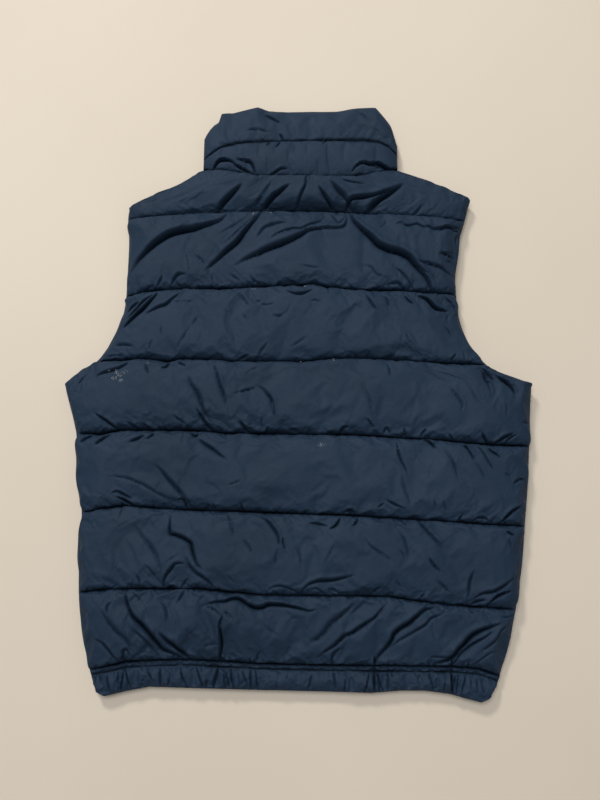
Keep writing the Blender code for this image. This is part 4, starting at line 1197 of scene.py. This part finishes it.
def ramp(tree, factor, stops):
    made = node(tree, "ShaderNodeValToRGB", [("Fac", factor)])
    bar = made.color_ramp
    bar.elements[0].position, bar.elements[0].color = stops[0]
    bar.elements[1].position, bar.elements[1].color = stops[-1]
    for position, colour in stops[1:-1]:
        bar.elements.new(position).color = colour
    return made.outputs["Color"]


def noise(tree, place, scale, detail=3.0, rough=0.5):
    values = [("Scale", scale), ("Detail", detail), ("Roughness", rough)]
    return node(tree, "ShaderNodeTexNoise", [("Vector", place)], values).outputs["Fac"]


def wave(tree, place, direction, scale, bent=0.0):
    values = [("Scale", scale), ("Distortion", bent), ("Detail", 1.0)]
    made = node(tree, "ShaderNodeTexWave", [("Vector", place)], values, bands_direction=direction)
    return made.outputs["Fac"]


def bump(tree, height, strength, distance, before=None):
    links = [("Height", height)] + ([("Normal", before)] if before else [])
    values = [("Strength", strength), ("Distance", distance)]
    return node(tree, "ShaderNodeBump", links, values).outputs["Normal"]


def grey(tree, factor, low, high):
    values = [("To Min", low), ("To Max", high)]
    return node(tree, "ShaderNodeMapRange", [("Value", factor)], values).outputs["Result"]


def nylon():
    material, tree, shader, place = finish(
        "navy nylon", Sheen_Roughness=0.5, Sheen_Tint=(0.5, 0.66, 0.9, 1.0),
    )
    tone = ramp(tree, noise(tree, place, 9.0, 5.0, 0.6), (
        (0.32, (0.0092, 0.0214, 0.0418, 1.0)),
        (0.52, (0.0110, 0.0252, 0.0485, 1.0)),
        (0.70, (0.0132, 0.0285, 0.0532, 1.0)),
    ))
    dust = ramp(tree, noise(tree, place, 130.0, 6.0, 0.7), (
        (0.55, (0.0, 0.0, 0.0, 1.0)), (0.90, (0.006, 0.0065, 0.0075, 1.0)),
    ))
    colour = blend(tree, 1.0, tone, dust, blend_type="ADD")
    # Painted shade: in creases, by the mesh's attribute, the base colour turns near black and specular
    # and sheen fade
    painted_crease_shade = node(tree, "ShaderNodeAttribute", attribute_name="painted_shade").outputs["Fac"]
    painted_shade_mix = grey(tree, painted_crease_shade, 0.0, 0.96)
    crinkle = None
    for texture, strength, distance in (
        (noise(tree, place, 120.0, 4.0, 0.6), 0.45, 0.0010),
        (noise(tree, place, 55.0, 3.0, 0.5), 0.40, 0.0022),
        (noise(tree, place, 420.0, 2.0, 0.5), 0.25, 0.0003),
        (wave(tree, place, "X", 780.0, 0.6), 0.25, 0.00003),
        (wave(tree, place, "Y", 700.0, 0.6), 0.25, 0.00003),
    ):
        crinkle = bump(tree, texture, strength, distance, crinkle)
    drive(
        tree, shader, Normal=crinkle,
        # Painted shade: the colour mixes towards near black in creases
        Base_Color=blend(tree, painted_shade_mix, colour, (0.0012, 0.0022, 0.0046, 1.0)),
        Specular_IOR_Level=grey(tree, painted_crease_shade, 0.16, 0.02),
        Sheen_Weight=grey(tree, painted_crease_shade, 0.03, 0.0),
        Roughness=grey(tree, noise(tree, place, 38.0, 4.0, 0.6), 0.56, 0.72),
    )
    return material


def woven(name, dark, light, rib, rough):
    """Tape or thread: a ribbed weave in two close tones."""
    material, tree, shader, place = finish(name, Roughness=rough, Sheen_Weight=0.05)
    ribs = wave(tree, place, "Y", rib, 0.8)
    weave = bump(tree, ribs, 0.4, 0.00012)
    weave = bump(tree, wave(tree, place, "X", rib * 0.7, 0.8), 0.3, 0.00008, weave)
    tone = ramp(tree, ribs, ((0.25, dark), (0.8, light)))
    drive(tree, shader, Base_Color=tone, Normal=weave)
    return material


def mottled(name, grain, tones, rough=None, worn=None, **sockets):
    """A material whose tone wavers between two. rough is the grain of its roughness and the ends
    of that; worn is the grain of its relief, with its strength and depth."""
    material, tree, shader, place = finish(name, **sockets)
    drive(tree, shader, Base_Color=ramp(tree, noise(tree, place, *grain), tones))
    if rough:
        drive(tree, shader, Roughness=grey(tree, noise(tree, place, rough[0]), *rough[1:]))
    if worn:
        drive(tree, shader, Normal=bump(tree, noise(tree, place, *worn[0]), *worn[1:]))
    return material


def moulded():
    tones = ((0.3, (0.010, 0.012, 0.017, 1.0)), (0.7, (0.018, 0.021, 0.028, 1.0)))
    return mottled("dark moulded teeth", (60.0,), tones, (300.0, 0.28, 0.45), Specular_IOR_Level=0.5)


def gunmetal():
    tones = ((0.35, (0.09, 0.09, 0.095, 1.0)), (0.75, (0.17, 0.17, 0.18, 1.0)))
    worn = ((900.0, 4.0, 0.6), 0.15, 0.00005)
    return mottled("gunmetal", (220.0, 5.0, 0.65), tones, (700.0, 0.24, 0.46), worn, Metallic=1.0)


def lint_fibre():
    tones = ((0.3, (0.26, 0.27, 0.29, 1.0)), (0.7, (0.48, 0.49, 0.51, 1.0)))
    return mottled("pale lint", (500.0,), tones, Roughness=0.9, Sheen_Weight=0.4)


def floor_finish():
    tones = ((0.35, (0.66, 0.575, 0.465, 1.0)), (0.65, (0.69, 0.605, 0.495, 1.0)))
    rough = (30.0, 0.55, 0.65)
    return mottled("plain pale floor", (2.2, 4.0, 0.5), tones, rough, Specular_IOR_Level=0.2)


# ---------------------------------------------------------------- small parts, each made once


def edit(*steps):
    bpy.ops.object.mode_set(mode="EDIT")
    for step in steps:
        step()
    bpy.ops.object.mode_set(mode="OBJECT")


def drawn_out(*way):
    return lambda: bpy.ops.mesh.extrude_region_move(TRANSFORM_OT_translate={"value": way})


def resized(*size):
    return lambda: bpy.ops.transform.resize(value=size)


def pick_faces(made, test):
    """Selects the faces whose centre and normal pass a test."""
    bpy.ops.object.mode_set(mode="EDIT")
    bpy.ops.mesh.select_mode(type="FACE")
    bpy.ops.mesh.select_all(action="DESELECT")
    bpy.ops.object.mode_set(mode="OBJECT")
    for face in made.data.polygons:
        face.select = test(face.center, face.normal)


def bent_thread(made):
    """Both ends of a stitch taper and dive into the cloth."""
    for side in (-1.0, 1.0):
        pick_faces(made, lambda centre, normal: normal.x * side > 0.9)
        edit(drawn_out(0.45 * side, 0.0, -0.2), resized(1.0, 0.45, 0.45))


def stitch():
    return template(
        lambda: (
            bpy.ops.mesh.primitive_cylinder_add(
                vertices=6, radius=0.3, depth=1.3, rotation=(0.0, math.pi / 2, 0.0)
            ),
            bpy.ops.object.transform_apply(location=False, rotation=True, scale=False),
        ),
        bent_thread,
    )


def zip_tooth():
    """A tooth: its body grips the tape and its head reaches over the middle of the chain."""
    def head(made):
        pick_faces(made, lambda centre, normal: normal.x < -0.9)
        edit(
            drawn_out(-0.7, 0.0, 0.0), resized(1.0, 0.62, 0.8),
            drawn_out(-0.9, 0.0, 0.0), resized(1.0, 1.35, 1.0),
        )

    return template(
        lambda: (
            bpy.ops.mesh.primitive_cube_add(size=1.0, location=(1.9, 0.0, 0.0)),
            bpy.ops.transform.resize(value=(1.5, 1.5, 1.3)),
            bpy.ops.object.transform_apply(location=True, rotation=False, scale=True),
        ),
        head,
        [("BEVEL", {"width": 0.16, "segments": 1, "limit_method": "ANGLE"})],
    )


def curl():
    """One curled fibre of lint."""
    def turn(made):
        edit(
            lambda: bpy.ops.mesh.select_all(action="SELECT"),
            lambda: bpy.ops.mesh.spin(
                steps=7, angle=3.3, center=(0.0, 0.0, 0.0), axis=(0.0, 0.0, 1.0)
            ),
        )

    return template(
        lambda: (
            bpy.ops.mesh.primitive_circle_add(
                vertices=4, radius=0.11, fill_type="NGON", location=(1.0, 0.0, 0.0),
                rotation=(math.pi / 2, 0.0, 0.0),
            ),
            bpy.ops.object.transform_apply(location=True, rotation=True, scale=False),
        ),
        turn,
    )


# ---------------------------------------------------------------- cloth of the body and its bands


def spread(points):
    """Cloth lies a little wider than its solids, round the point under the camera's place."""
    points[..., 0] = CAMERA_PLACE[0] + SPREAD * (points[..., 0] - CAMERA_PLACE[0])
    points[..., 1] = CAMERA_PLACE[1] + SPREAD * (points[..., 1] - CAMERA_PLACE[1])
    return points


def line_level(points):
    """Level of the stitched lines under each point, where a fold can't cut deeper."""
    return np.minimum(meeting_level(points[..., 1]) + LAYER_HALF + 2.2, points[..., 2])


def turned_over(points):
    """The fronts' outer side faces the floor: levels are swapped with heights under the meeting
    level, and swapped back by a second call."""
    turned = points.copy()
    turned[..., 2] = meeting_level(points[..., 1]) - points[..., 2]
    return turned


def held_rows(points, stitched):
    """What doesn't move while a piece fills: its stitched rows and its first and last columns."""
    held = np.zeros(points.shape[:2], bool)
    held[stitched] = True
    held[:, [0, -1]] = True
    return held


def fill_unevenly(piece, points, held, spare, size, seed):
    """Fills a piece from a surface that has small bumps of this size."""
    points[..., 2] += 0.3 * soft_noise(spare.shape, size, seed) * ~held
    return fill_with_padding(piece, points, held, spare, *FILLING[piece])


def pucker_both(points, level, painted_shade, row, least, most, strength=1.0):
    for side, longest in zip((1, -1), most):
        pucker(points, level, painted_shade, row, side, least, longest, strength)


def quilted_back():
    points, stitched = back_grid(CELL["back"])
    yoke = stitched[-2]
    from_line = np.full(points.shape[:2], 1e3)
    for row in stitched:
        from_line = np.minimum(from_line, np.abs(points[..., 1] - points[row, :, 1]))
    near_line = np.exp(-((from_line / 6.0) ** 2))
    spare = 0.009 + 0.026 * np.exp(-from_line / 6.0)
    spare[: stitched[1]] += 0.008
    spare[yoke:] *= 0.4
    spare *= np.clip(1.0 + 0.35 * soft_noise(spare.shape, 9.0, 5), 0.3, 1.9)
    bumps = 0.3 * soft_noise(spare.shape, 2.4, 8)
    bumps[yoke:] *= 0.4
    held = held_rows(points, stitched)
    points[..., 2] += bumps * ~held
    filled = fill_with_padding("back", points, held, spare, *FILLING["back"])
    bulge = blurred(filled[..., 2] - points[..., 2], 5.0) * (1.0 - near_line)
    filled[..., 2] -= BULGE_PRESSED * bulge
    points, stitched = finer(filled, stitched)
    level = line_level(points)
    # Shade is painted into the folds, the puckers and the seams' creases
    painted_shade = np.zeros(points.shape[:2])
    for fold in FOLDS:
        press_fold(points, level, painted_shade, *fold)

    # The longer gathers of the hem band run on above its seam
    for x_up, h_up, x_down, h_down, depth, width in GATHERS:
        if h_up > 20.0:
            lean = (x_up - x_down) / (h_up - h_down)
            path = (x_up, 27.0, x_up + 3.0 * lean, 31.0, x_up + 5.0 * lean, 31.0 + 2.2 * depth)
            press_fold(points, level, painted_shade, 0.9 * depth, 1.1 * width, 0.4, path)
    for row, strength in zip(stitched, PUCKERED):
        pucker_both(points, level, painted_shade, row, 2.0, (9.0, 8.0), strength)
    # Each stitched line draws in, with painted shade along its crease
    for row, dark in zip(stitched, LINE_PAINTED_SHADE):
        draw_in(points, painted_shade, row, 1.3, 2.2, 0.9 + 0.5 * dark, dark)
    return spread(points), stitched, painted_shade


def quilted_front(side):
    points, stitched = front_grid(side, CELL["front"])
    if side > 0:
        points = points[:, ::-1].copy()
    spare = np.full(points.shape[:2], 0.03)
    spare *= np.clip(1.0 + 0.25 * soft_noise(spare.shape, 8.0, 11 + side), 0.4, 1.6)
    held = held_rows(points, stitched)
    points = fill_unevenly("front", points, held, spare, 1.6, 17 + side)
    points, stitched = finer(points, stitched)
    turned = turned_over(points)
    level = np.minimum(3.0, turned[..., 2])
    # Shade is painted into the puckers' hollows
    painted_shade = np.zeros(points.shape[:2])
    for row in stitched:
        pucker_both(turned, level, painted_shade, row, 3.0, (9.0, 9.0))
    points = turned_over(turned)
    points[..., 2] = rest_on_floor(points[..., 2])
    return spread(points), stitched, painted_shade


def quilted_collar():
    points, stitched, on_top, plain = collar_grid(CELL["collar"])
    held = held_rows(points, stitched[:2])
    held |= np.isin(points[..., 0], (COLLAR_TOP[0, 0], COLLAR_TOP[-1, 0]))
    spare = np.full(points.shape[:2], 0.012)
    points = fill_unevenly("collar", points, held, spare, 2.0, 23)
    inner = finer_across(collar_inside(points, on_top))
    points, stitched = finer(points, stitched)
    top = top_of(on_top)
    back = points[:, top]
    plain = finer_across(finer_along(plain))[:, top]
    level = np.minimum(plain - 7.0, back[..., 2])
    # Shade is painted into the tucks, the puckers and the seams' creases
    painted_shade = np.zeros(points.shape[:2])
    shade = painted_shade[:, top]
    for fold in COLLAR_FOLDS:
        press_fold(back, level, shade, *fold)
    for row in stitched[:2]:
        pucker(back, level, shade, row, 1, 2.0, 6.0, 0.3)
    pucker(back, level, shade, stitched[1], -1, 2.0, 6.0, 0.3)
    draw_in(back, shade, stitched[0], 0.0, 1.4, 1.6)
    draw_in(back, shade, stitched[1], 0.5, 2.0, 1.7)
    settle_underside(points, top)
    return spread(points), stitched, spread(inner), top, painted_shade


def top_of(on_top):
    """The finer grid's columns that lie on top."""
    first, last = np.nonzero(on_top)[0][[0, -1]]
    return slice(2 * first, 2 * last + 1)


def parts_under(top):
    """A band's columns on its underside, left and right."""
    return slice(0, top.start), slice(top.stop, None)


def settle_underside(points, top):
    for part in parts_under(top):
        points[:, part, 2] = rest_on_floor(points[:, part, 2])


def collar_inside(points, on_top):
    """Plain inner side of the collar, a little inside the folds and clear of the back."""
    left, right = COLLAR_TOP[0, 0] + 1.2, COLLAR_TOP[-1, 0] - 1.2
    share = np.linspace(0.0, 1.0, 9)[:, None, None]
    inner = points[:1] + (points[-1:] - points[:1]) * share
    front_rim = points[-1, ~on_top, :2][::-1]
    front_high = np.interp(points[-1, :, 0], front_rim[:, 0], front_rim[:, 1]) * on_top
    past = smoothstep((inner[..., 1] - front_high[None] - 4.0) / 46.0)
    over = (meeting_level(inner[..., 1]) + LAYER_HALF - 0.1) * (1.0 - past) + 0.3 * past
    inner[..., 2] = np.where(on_top[None], over, meeting_level(inner[..., 1]) - LAYER_HALF)
    inner[..., 0] = np.clip(inner[..., 0], left, right)
    inner[-1, :, 1] -= 4.0 * on_top
    return inner


def gathered_hem():
    points, stitched, on_top, x = hem_grid(CELL["hem"])
    held = held_rows(points, stitched)
    held |= (np.abs(x - SECTIONS[0, 0]) < 0.1)[None] | (np.abs(x - SECTIONS[0, 4]) < 0.1)[None]
    drawn = smoothstep((np.abs(x) - 25.0) / 60.0)
    spare = (0.012 + 0.055 * drawn)[None] * np.ones(points.shape[:2])
    points = fill_unevenly("hem", points, held, spare, 2.0, 31)
    inner = np.stack([points[0], points[-1]])
    inner[..., 2] = meeting_level(inner[..., 1]) + np.where(on_top, 1.0, -1.0)[None] * LAYER_HALF
    reach = SECTIONS[0, 4] * HEM_WIDTH[0] - 1.4
    inner[..., 0] = np.clip(inner[..., 0], -reach, reach)
    inner = finer_across(inner)
    points, stitched = finer(points, stitched)
    top = top_of(on_top)
    back = points[:, top]
    level = np.minimum(meeting_level(back[..., 1]) + 1.9, back[..., 2])
    # Shade is painted into the gathers, the puckers and the seams' creases
    painted_shade = np.zeros(points.shape[:2])
    shade = painted_shade[:, top]
    for x_up, h_up, x_down, h_down, depth, width in GATHERS:
        path = (x_up, h_up + 2.0, 0.6 * x_up + 0.4 * x_down, 0.5 * (h_up + h_down), x_down, h_down - 2.0)
        press_fold(back, level, shade, 1.1 * depth, width, 0.35, path)
    for row in stitched[1:]:
        pucker(back, level, shade, row, -1, 2.0, 6.0, 0.7)
    pucker(back, level, shade, stitched[1], 1, 1.5, 4.0, 0.7)
    draw_in(back, shade, stitched[1], 0.5, 1.2, 1.1, 0.75)
    draw_in(back, shade, stitched[2], 0.8, 1.3)
    settle_underside(points, top)
    return spread(points), stitched, spread(inner), top, painted_shade


def band_piece(name, points, inner, painted_shade, material):
    """Closes a band that runs round both folds: its outer side over a plain inner one."""
    rows, columns = points.shape[:2]
    count = rows * columns
    index = np.arange(count).reshape(rows, columns)
    inside = count + np.arange(inner.shape[0] * columns).reshape(-1, columns)
    low, high = inside[0], inside[-1]
    faces = creased_faces(points)
    faces += [face[::-1] for face in grid_faces(inner.shape[0], columns, count).tolist()]
    for k in range(columns - 1):
        faces.append([low[k], low[k + 1], index[0, k + 1], index[0, k]])
        faces.append([index[-1, k], index[-1, k + 1], high[k + 1], high[k]])
    faces.append(list(index[:, 0]) + list(inside[::-1, 0]))
    faces.append(list(inside[:, -1]) + list(index[::-1, -1]))
    vertices = np.concatenate([points.reshape(-1, 3), inner.reshape(-1, 3)])
    faces = [[int(i) for i in face] for face in faces]
    return new_piece(name, vertices, faces, material, painted_shade=painted_shade.ravel())


def stitched_run(line, sunk, pitch, facing=1.0):
    """A line for stitches that lie a little inside the cloth."""
    return line - np.array((0.0, 0.0, sunk)), pitch, facing


# ---------------------------------------------------------------- the vest

navy = nylon()
thread = woven("navy thread", (0.002, 0.004, 0.008, 1.0), (0.004, 0.008, 0.015, 1.0), 900.0, 0.6)
tape = woven("navy zip tape", (0.009, 0.013, 0.022, 1.0), (0.018, 0.025, 0.038, 1.0), 620.0, 0.75)

back, back_lines, back_painted_shade = quilted_back()
split = back_lines[3]
inside = meeting_level(back[..., 1]) + LAYER_HALF
lower_back, upper_back = [
    panel_piece(name, back[rows], inside[rows], back_painted_shade[rows], navy)
    for name, rows in (("lower_back", slice(0, split + 1)), ("upper_back", slice(split, None)))
]

fronts = []
for side, name in ((-1, "left_front"), (1, "right_front")):
    points, lines, painted_shade = quilted_front(side)
    level = meeting_level(points[..., 1]) - LAYER_HALF
    piece = panel_piece(name, points[:, ::-1], level[:, ::-1], painted_shade[:, ::-1], navy, under=True)
    fronts.append((piece, points, lines))

collar_points, collar_lines, collar_inner, collar_top, collar_painted_shade = quilted_collar()
collar = band_piece("padded_collar", collar_points, collar_inner, collar_painted_shade, navy)
hem_points, hem_lines, hem_inner, hem_top, hem_painted_shade = gathered_hem()
hem = band_piece("gathered_hem", hem_points, hem_inner, hem_painted_shade, navy)

# Stitches lie in the quilting lines, the collar's line and the hem's topstitching
one_stitch = stitch()
collar_line = collar_points[collar_lines[1]]
runs = [stitched_run(back[row], 0.3, PITCH) for row in back_lines[1:-1]]
runs.append(stitched_run(collar_line[collar_top], 0.2, PITCH))
runs.append(stitched_run(hem_points[hem_lines[1], hem_top], 0.1, HEM_PITCH))
back_stitches = stitches("back_stitches", runs, one_stitch, thread)
under_lines = [points[row] for _, points, lines in fronts for row in lines[1:-1]]
under_lines += [collar_line[part] for part in parts_under(collar_top)]
runs = [stitched_run(line, 0.25, UNDER_PITCH, -1.0) for line in under_lines]
front_stitches = stitches("front_stitches", runs, one_stitch, thread)

# Zip: two tapes, and teeth from both
level = sum(CHAIN_LEVEL) / 2.0


def in_frame(place):
    return (Vector(place) - Vector((*ORIGIN, 0.0))) * MM


def zip_tapes():
    """Both woven tapes, each a thin strip with a beaded edge by the teeth."""
    strips = []
    for side in (-1.0, 1.0):
        bpy.ops.object.select_all(action="DESELECT")
        bpy.ops.mesh.primitive_cube_add(size=1.0)
        strip = bpy.context.active_object
        strip.name = "zip_tape_left" if side < 0 else "zip_tape_right"
        middle = in_frame((side * TAPE_MIDDLE, sum(CHAIN_ENDS) / 2.0, level + TAPE_LIFT))
        size = Vector((TAPE_WIDTH, CHAIN_ENDS[1] - CHAIN_ENDS[0], TAPE_THICK)) * MM
        strip.data.transform(Matrix.Translation(middle) @ Matrix.Diagonal(size.to_4d()))
        pick_faces(strip, lambda centre, normal: normal.x * side < -0.9)
        edit(drawn_out(-side * BEAD_WIDTH * MM, 0.0, 0.0), resized(1.0, 1.0, BEAD_THICK))
        modifier = strip.modifiers.new("Edges", "BEVEL")
        modifier.width = TAPE_EDGE * MM
        modifier.segments = 2
        select_only(strip)
        bpy.ops.object.modifier_apply(modifier="Edges")
        strip.data.materials.append(tape)
        strips.append(strip)
    return strips


tapes = zip_tapes()
teeth_places = []
for k, h in enumerate(np.arange(CHAIN_ENDS[0] + 5.0, CHAIN_ENDS[1] - 4.0, TOOTH_PITCH / 2.0)):
    side = 1.0 if k % 2 else -1.0
    axes = ((side, 0.0, 0.0), (0.0, side, 0.0), (0.0, 0.0, 1.0))
    teeth_places.append((np.array((0.0, h, level)), axes))
teeth = copies("zip_teeth", zip_tooth(), teeth_places, moulded())

metal = gunmetal()
for name in ("zip_slider", "zip_pull"):
    for material_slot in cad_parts[name].material_slots:
        material_slot.material = metal

# Lint on the back
fibres = []
grid_x, grid_h = back[..., 0], back[..., 1]
for x, h, radius in LINT:
    for _ in range(int(3 + 2 * radius)):
        at_x, at_h = x + rng.normal(0.0, 0.5 * radius), h + rng.normal(0.0, 0.35 * radius)
        nearest = np.argmin((grid_x - at_x) ** 2 + (grid_h - at_h) ** 2)
        spot = back.reshape(-1, 3)[nearest] + np.array((0.0, 0.0, 0.35))
        turn, size = rng.uniform(0.0, 2.0 * math.pi), rng.uniform(0.4, 1.1)
        along = np.array((math.cos(turn), math.sin(turn), rng.uniform(-0.2, 0.4))) * size
        beside = np.array((-math.sin(turn), math.cos(turn), rng.uniform(-0.2, 0.4))) * size
        fibres.append((spot, (along, beside, (0.0, 0.0, 1.0))))
lint = copies("lint", curl(), fibres, lint_fibre())

# What each piece stands for and rides on
stands_for = (
    (lower_back, "back_panel"), (upper_back, "back_panel"), (fronts[0][0], "front_left"),
    (fronts[1][0], "front_right"), (collar, "collar"), (hem, "hem_band"),
    (tapes[0], "zip_chain"), (tapes[1], "zip_chain"), (teeth, "zip_chain"),
)
for piece, cad_node in stands_for:
    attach(piece, "vest")
    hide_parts(cad_node)
for piece in (back_stitches, front_stitches, lint):
    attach(piece, "vest")

# ---------------------------------------------------------------- floor, light and camera

bpy.ops.object.select_all(action="DESELECT")
bpy.ops.mesh.primitive_plane_add(size=7.0)
floor = bpy.context.active_object
floor.name = "floor"
floor.data.materials.append(floor_finish())


def soft_light(name, place, aim, size, power, colour):
    lamp = bpy.data.lights.new(name, "AREA")
    lamp.shape = "DISK"
    lamp.size = size
    lamp.energy = power
    lamp.color = colour
    made = bpy.data.objects.new(name, lamp)
    bpy.context.scene.collection.objects.link(made)
    made.location = place
    made.rotation_euler = (Vector(aim) - Vector(place)).to_track_quat("-Z", "Y").to_euler()


soft_light("window light", (-1.3, 2.8, 2.4), (0.0, 0.05, 0.0), 0.7, 76.0, (1.0, 0.98, 0.95))
soft_light("ceiling light", (-0.35, 0.6, 3.1), (0.0, 0.0, 0.0), 1.9, 56.0, (0.97, 0.98, 1.0))

scene = bpy.context.scene
world = bpy.data.worlds.new("studio")
scene.world = world
world.use_nodes = True
sky = world.node_tree.nodes["Background"].inputs
sky["Color"].default_value = (0.94, 0.97, 1.0, 1.0)
sky["Strength"].default_value = 0.25
scene.view_settings.view_transform = "Standard"

lens = bpy.data.cameras.new("camera")
lens.lens = CAMERA_LENS
lens.sensor_width = 36.0
camera = bpy.data.objects.new("camera", lens)
scene.collection.objects.link(camera)
camera.matrix_world = (
    Matrix.Translation(in_frame(CAMERA_PLACE))
    @ Matrix.Rotation(math.radians(CAMERA_HEADING), 4, "Z")
    @ Matrix.Rotation(math.radians(CAMERA_TILT), 4, "X")
    @ Matrix.Rotation(math.radians(CAMERA_ROLL), 4, "Z")
)
scene.camera = camera
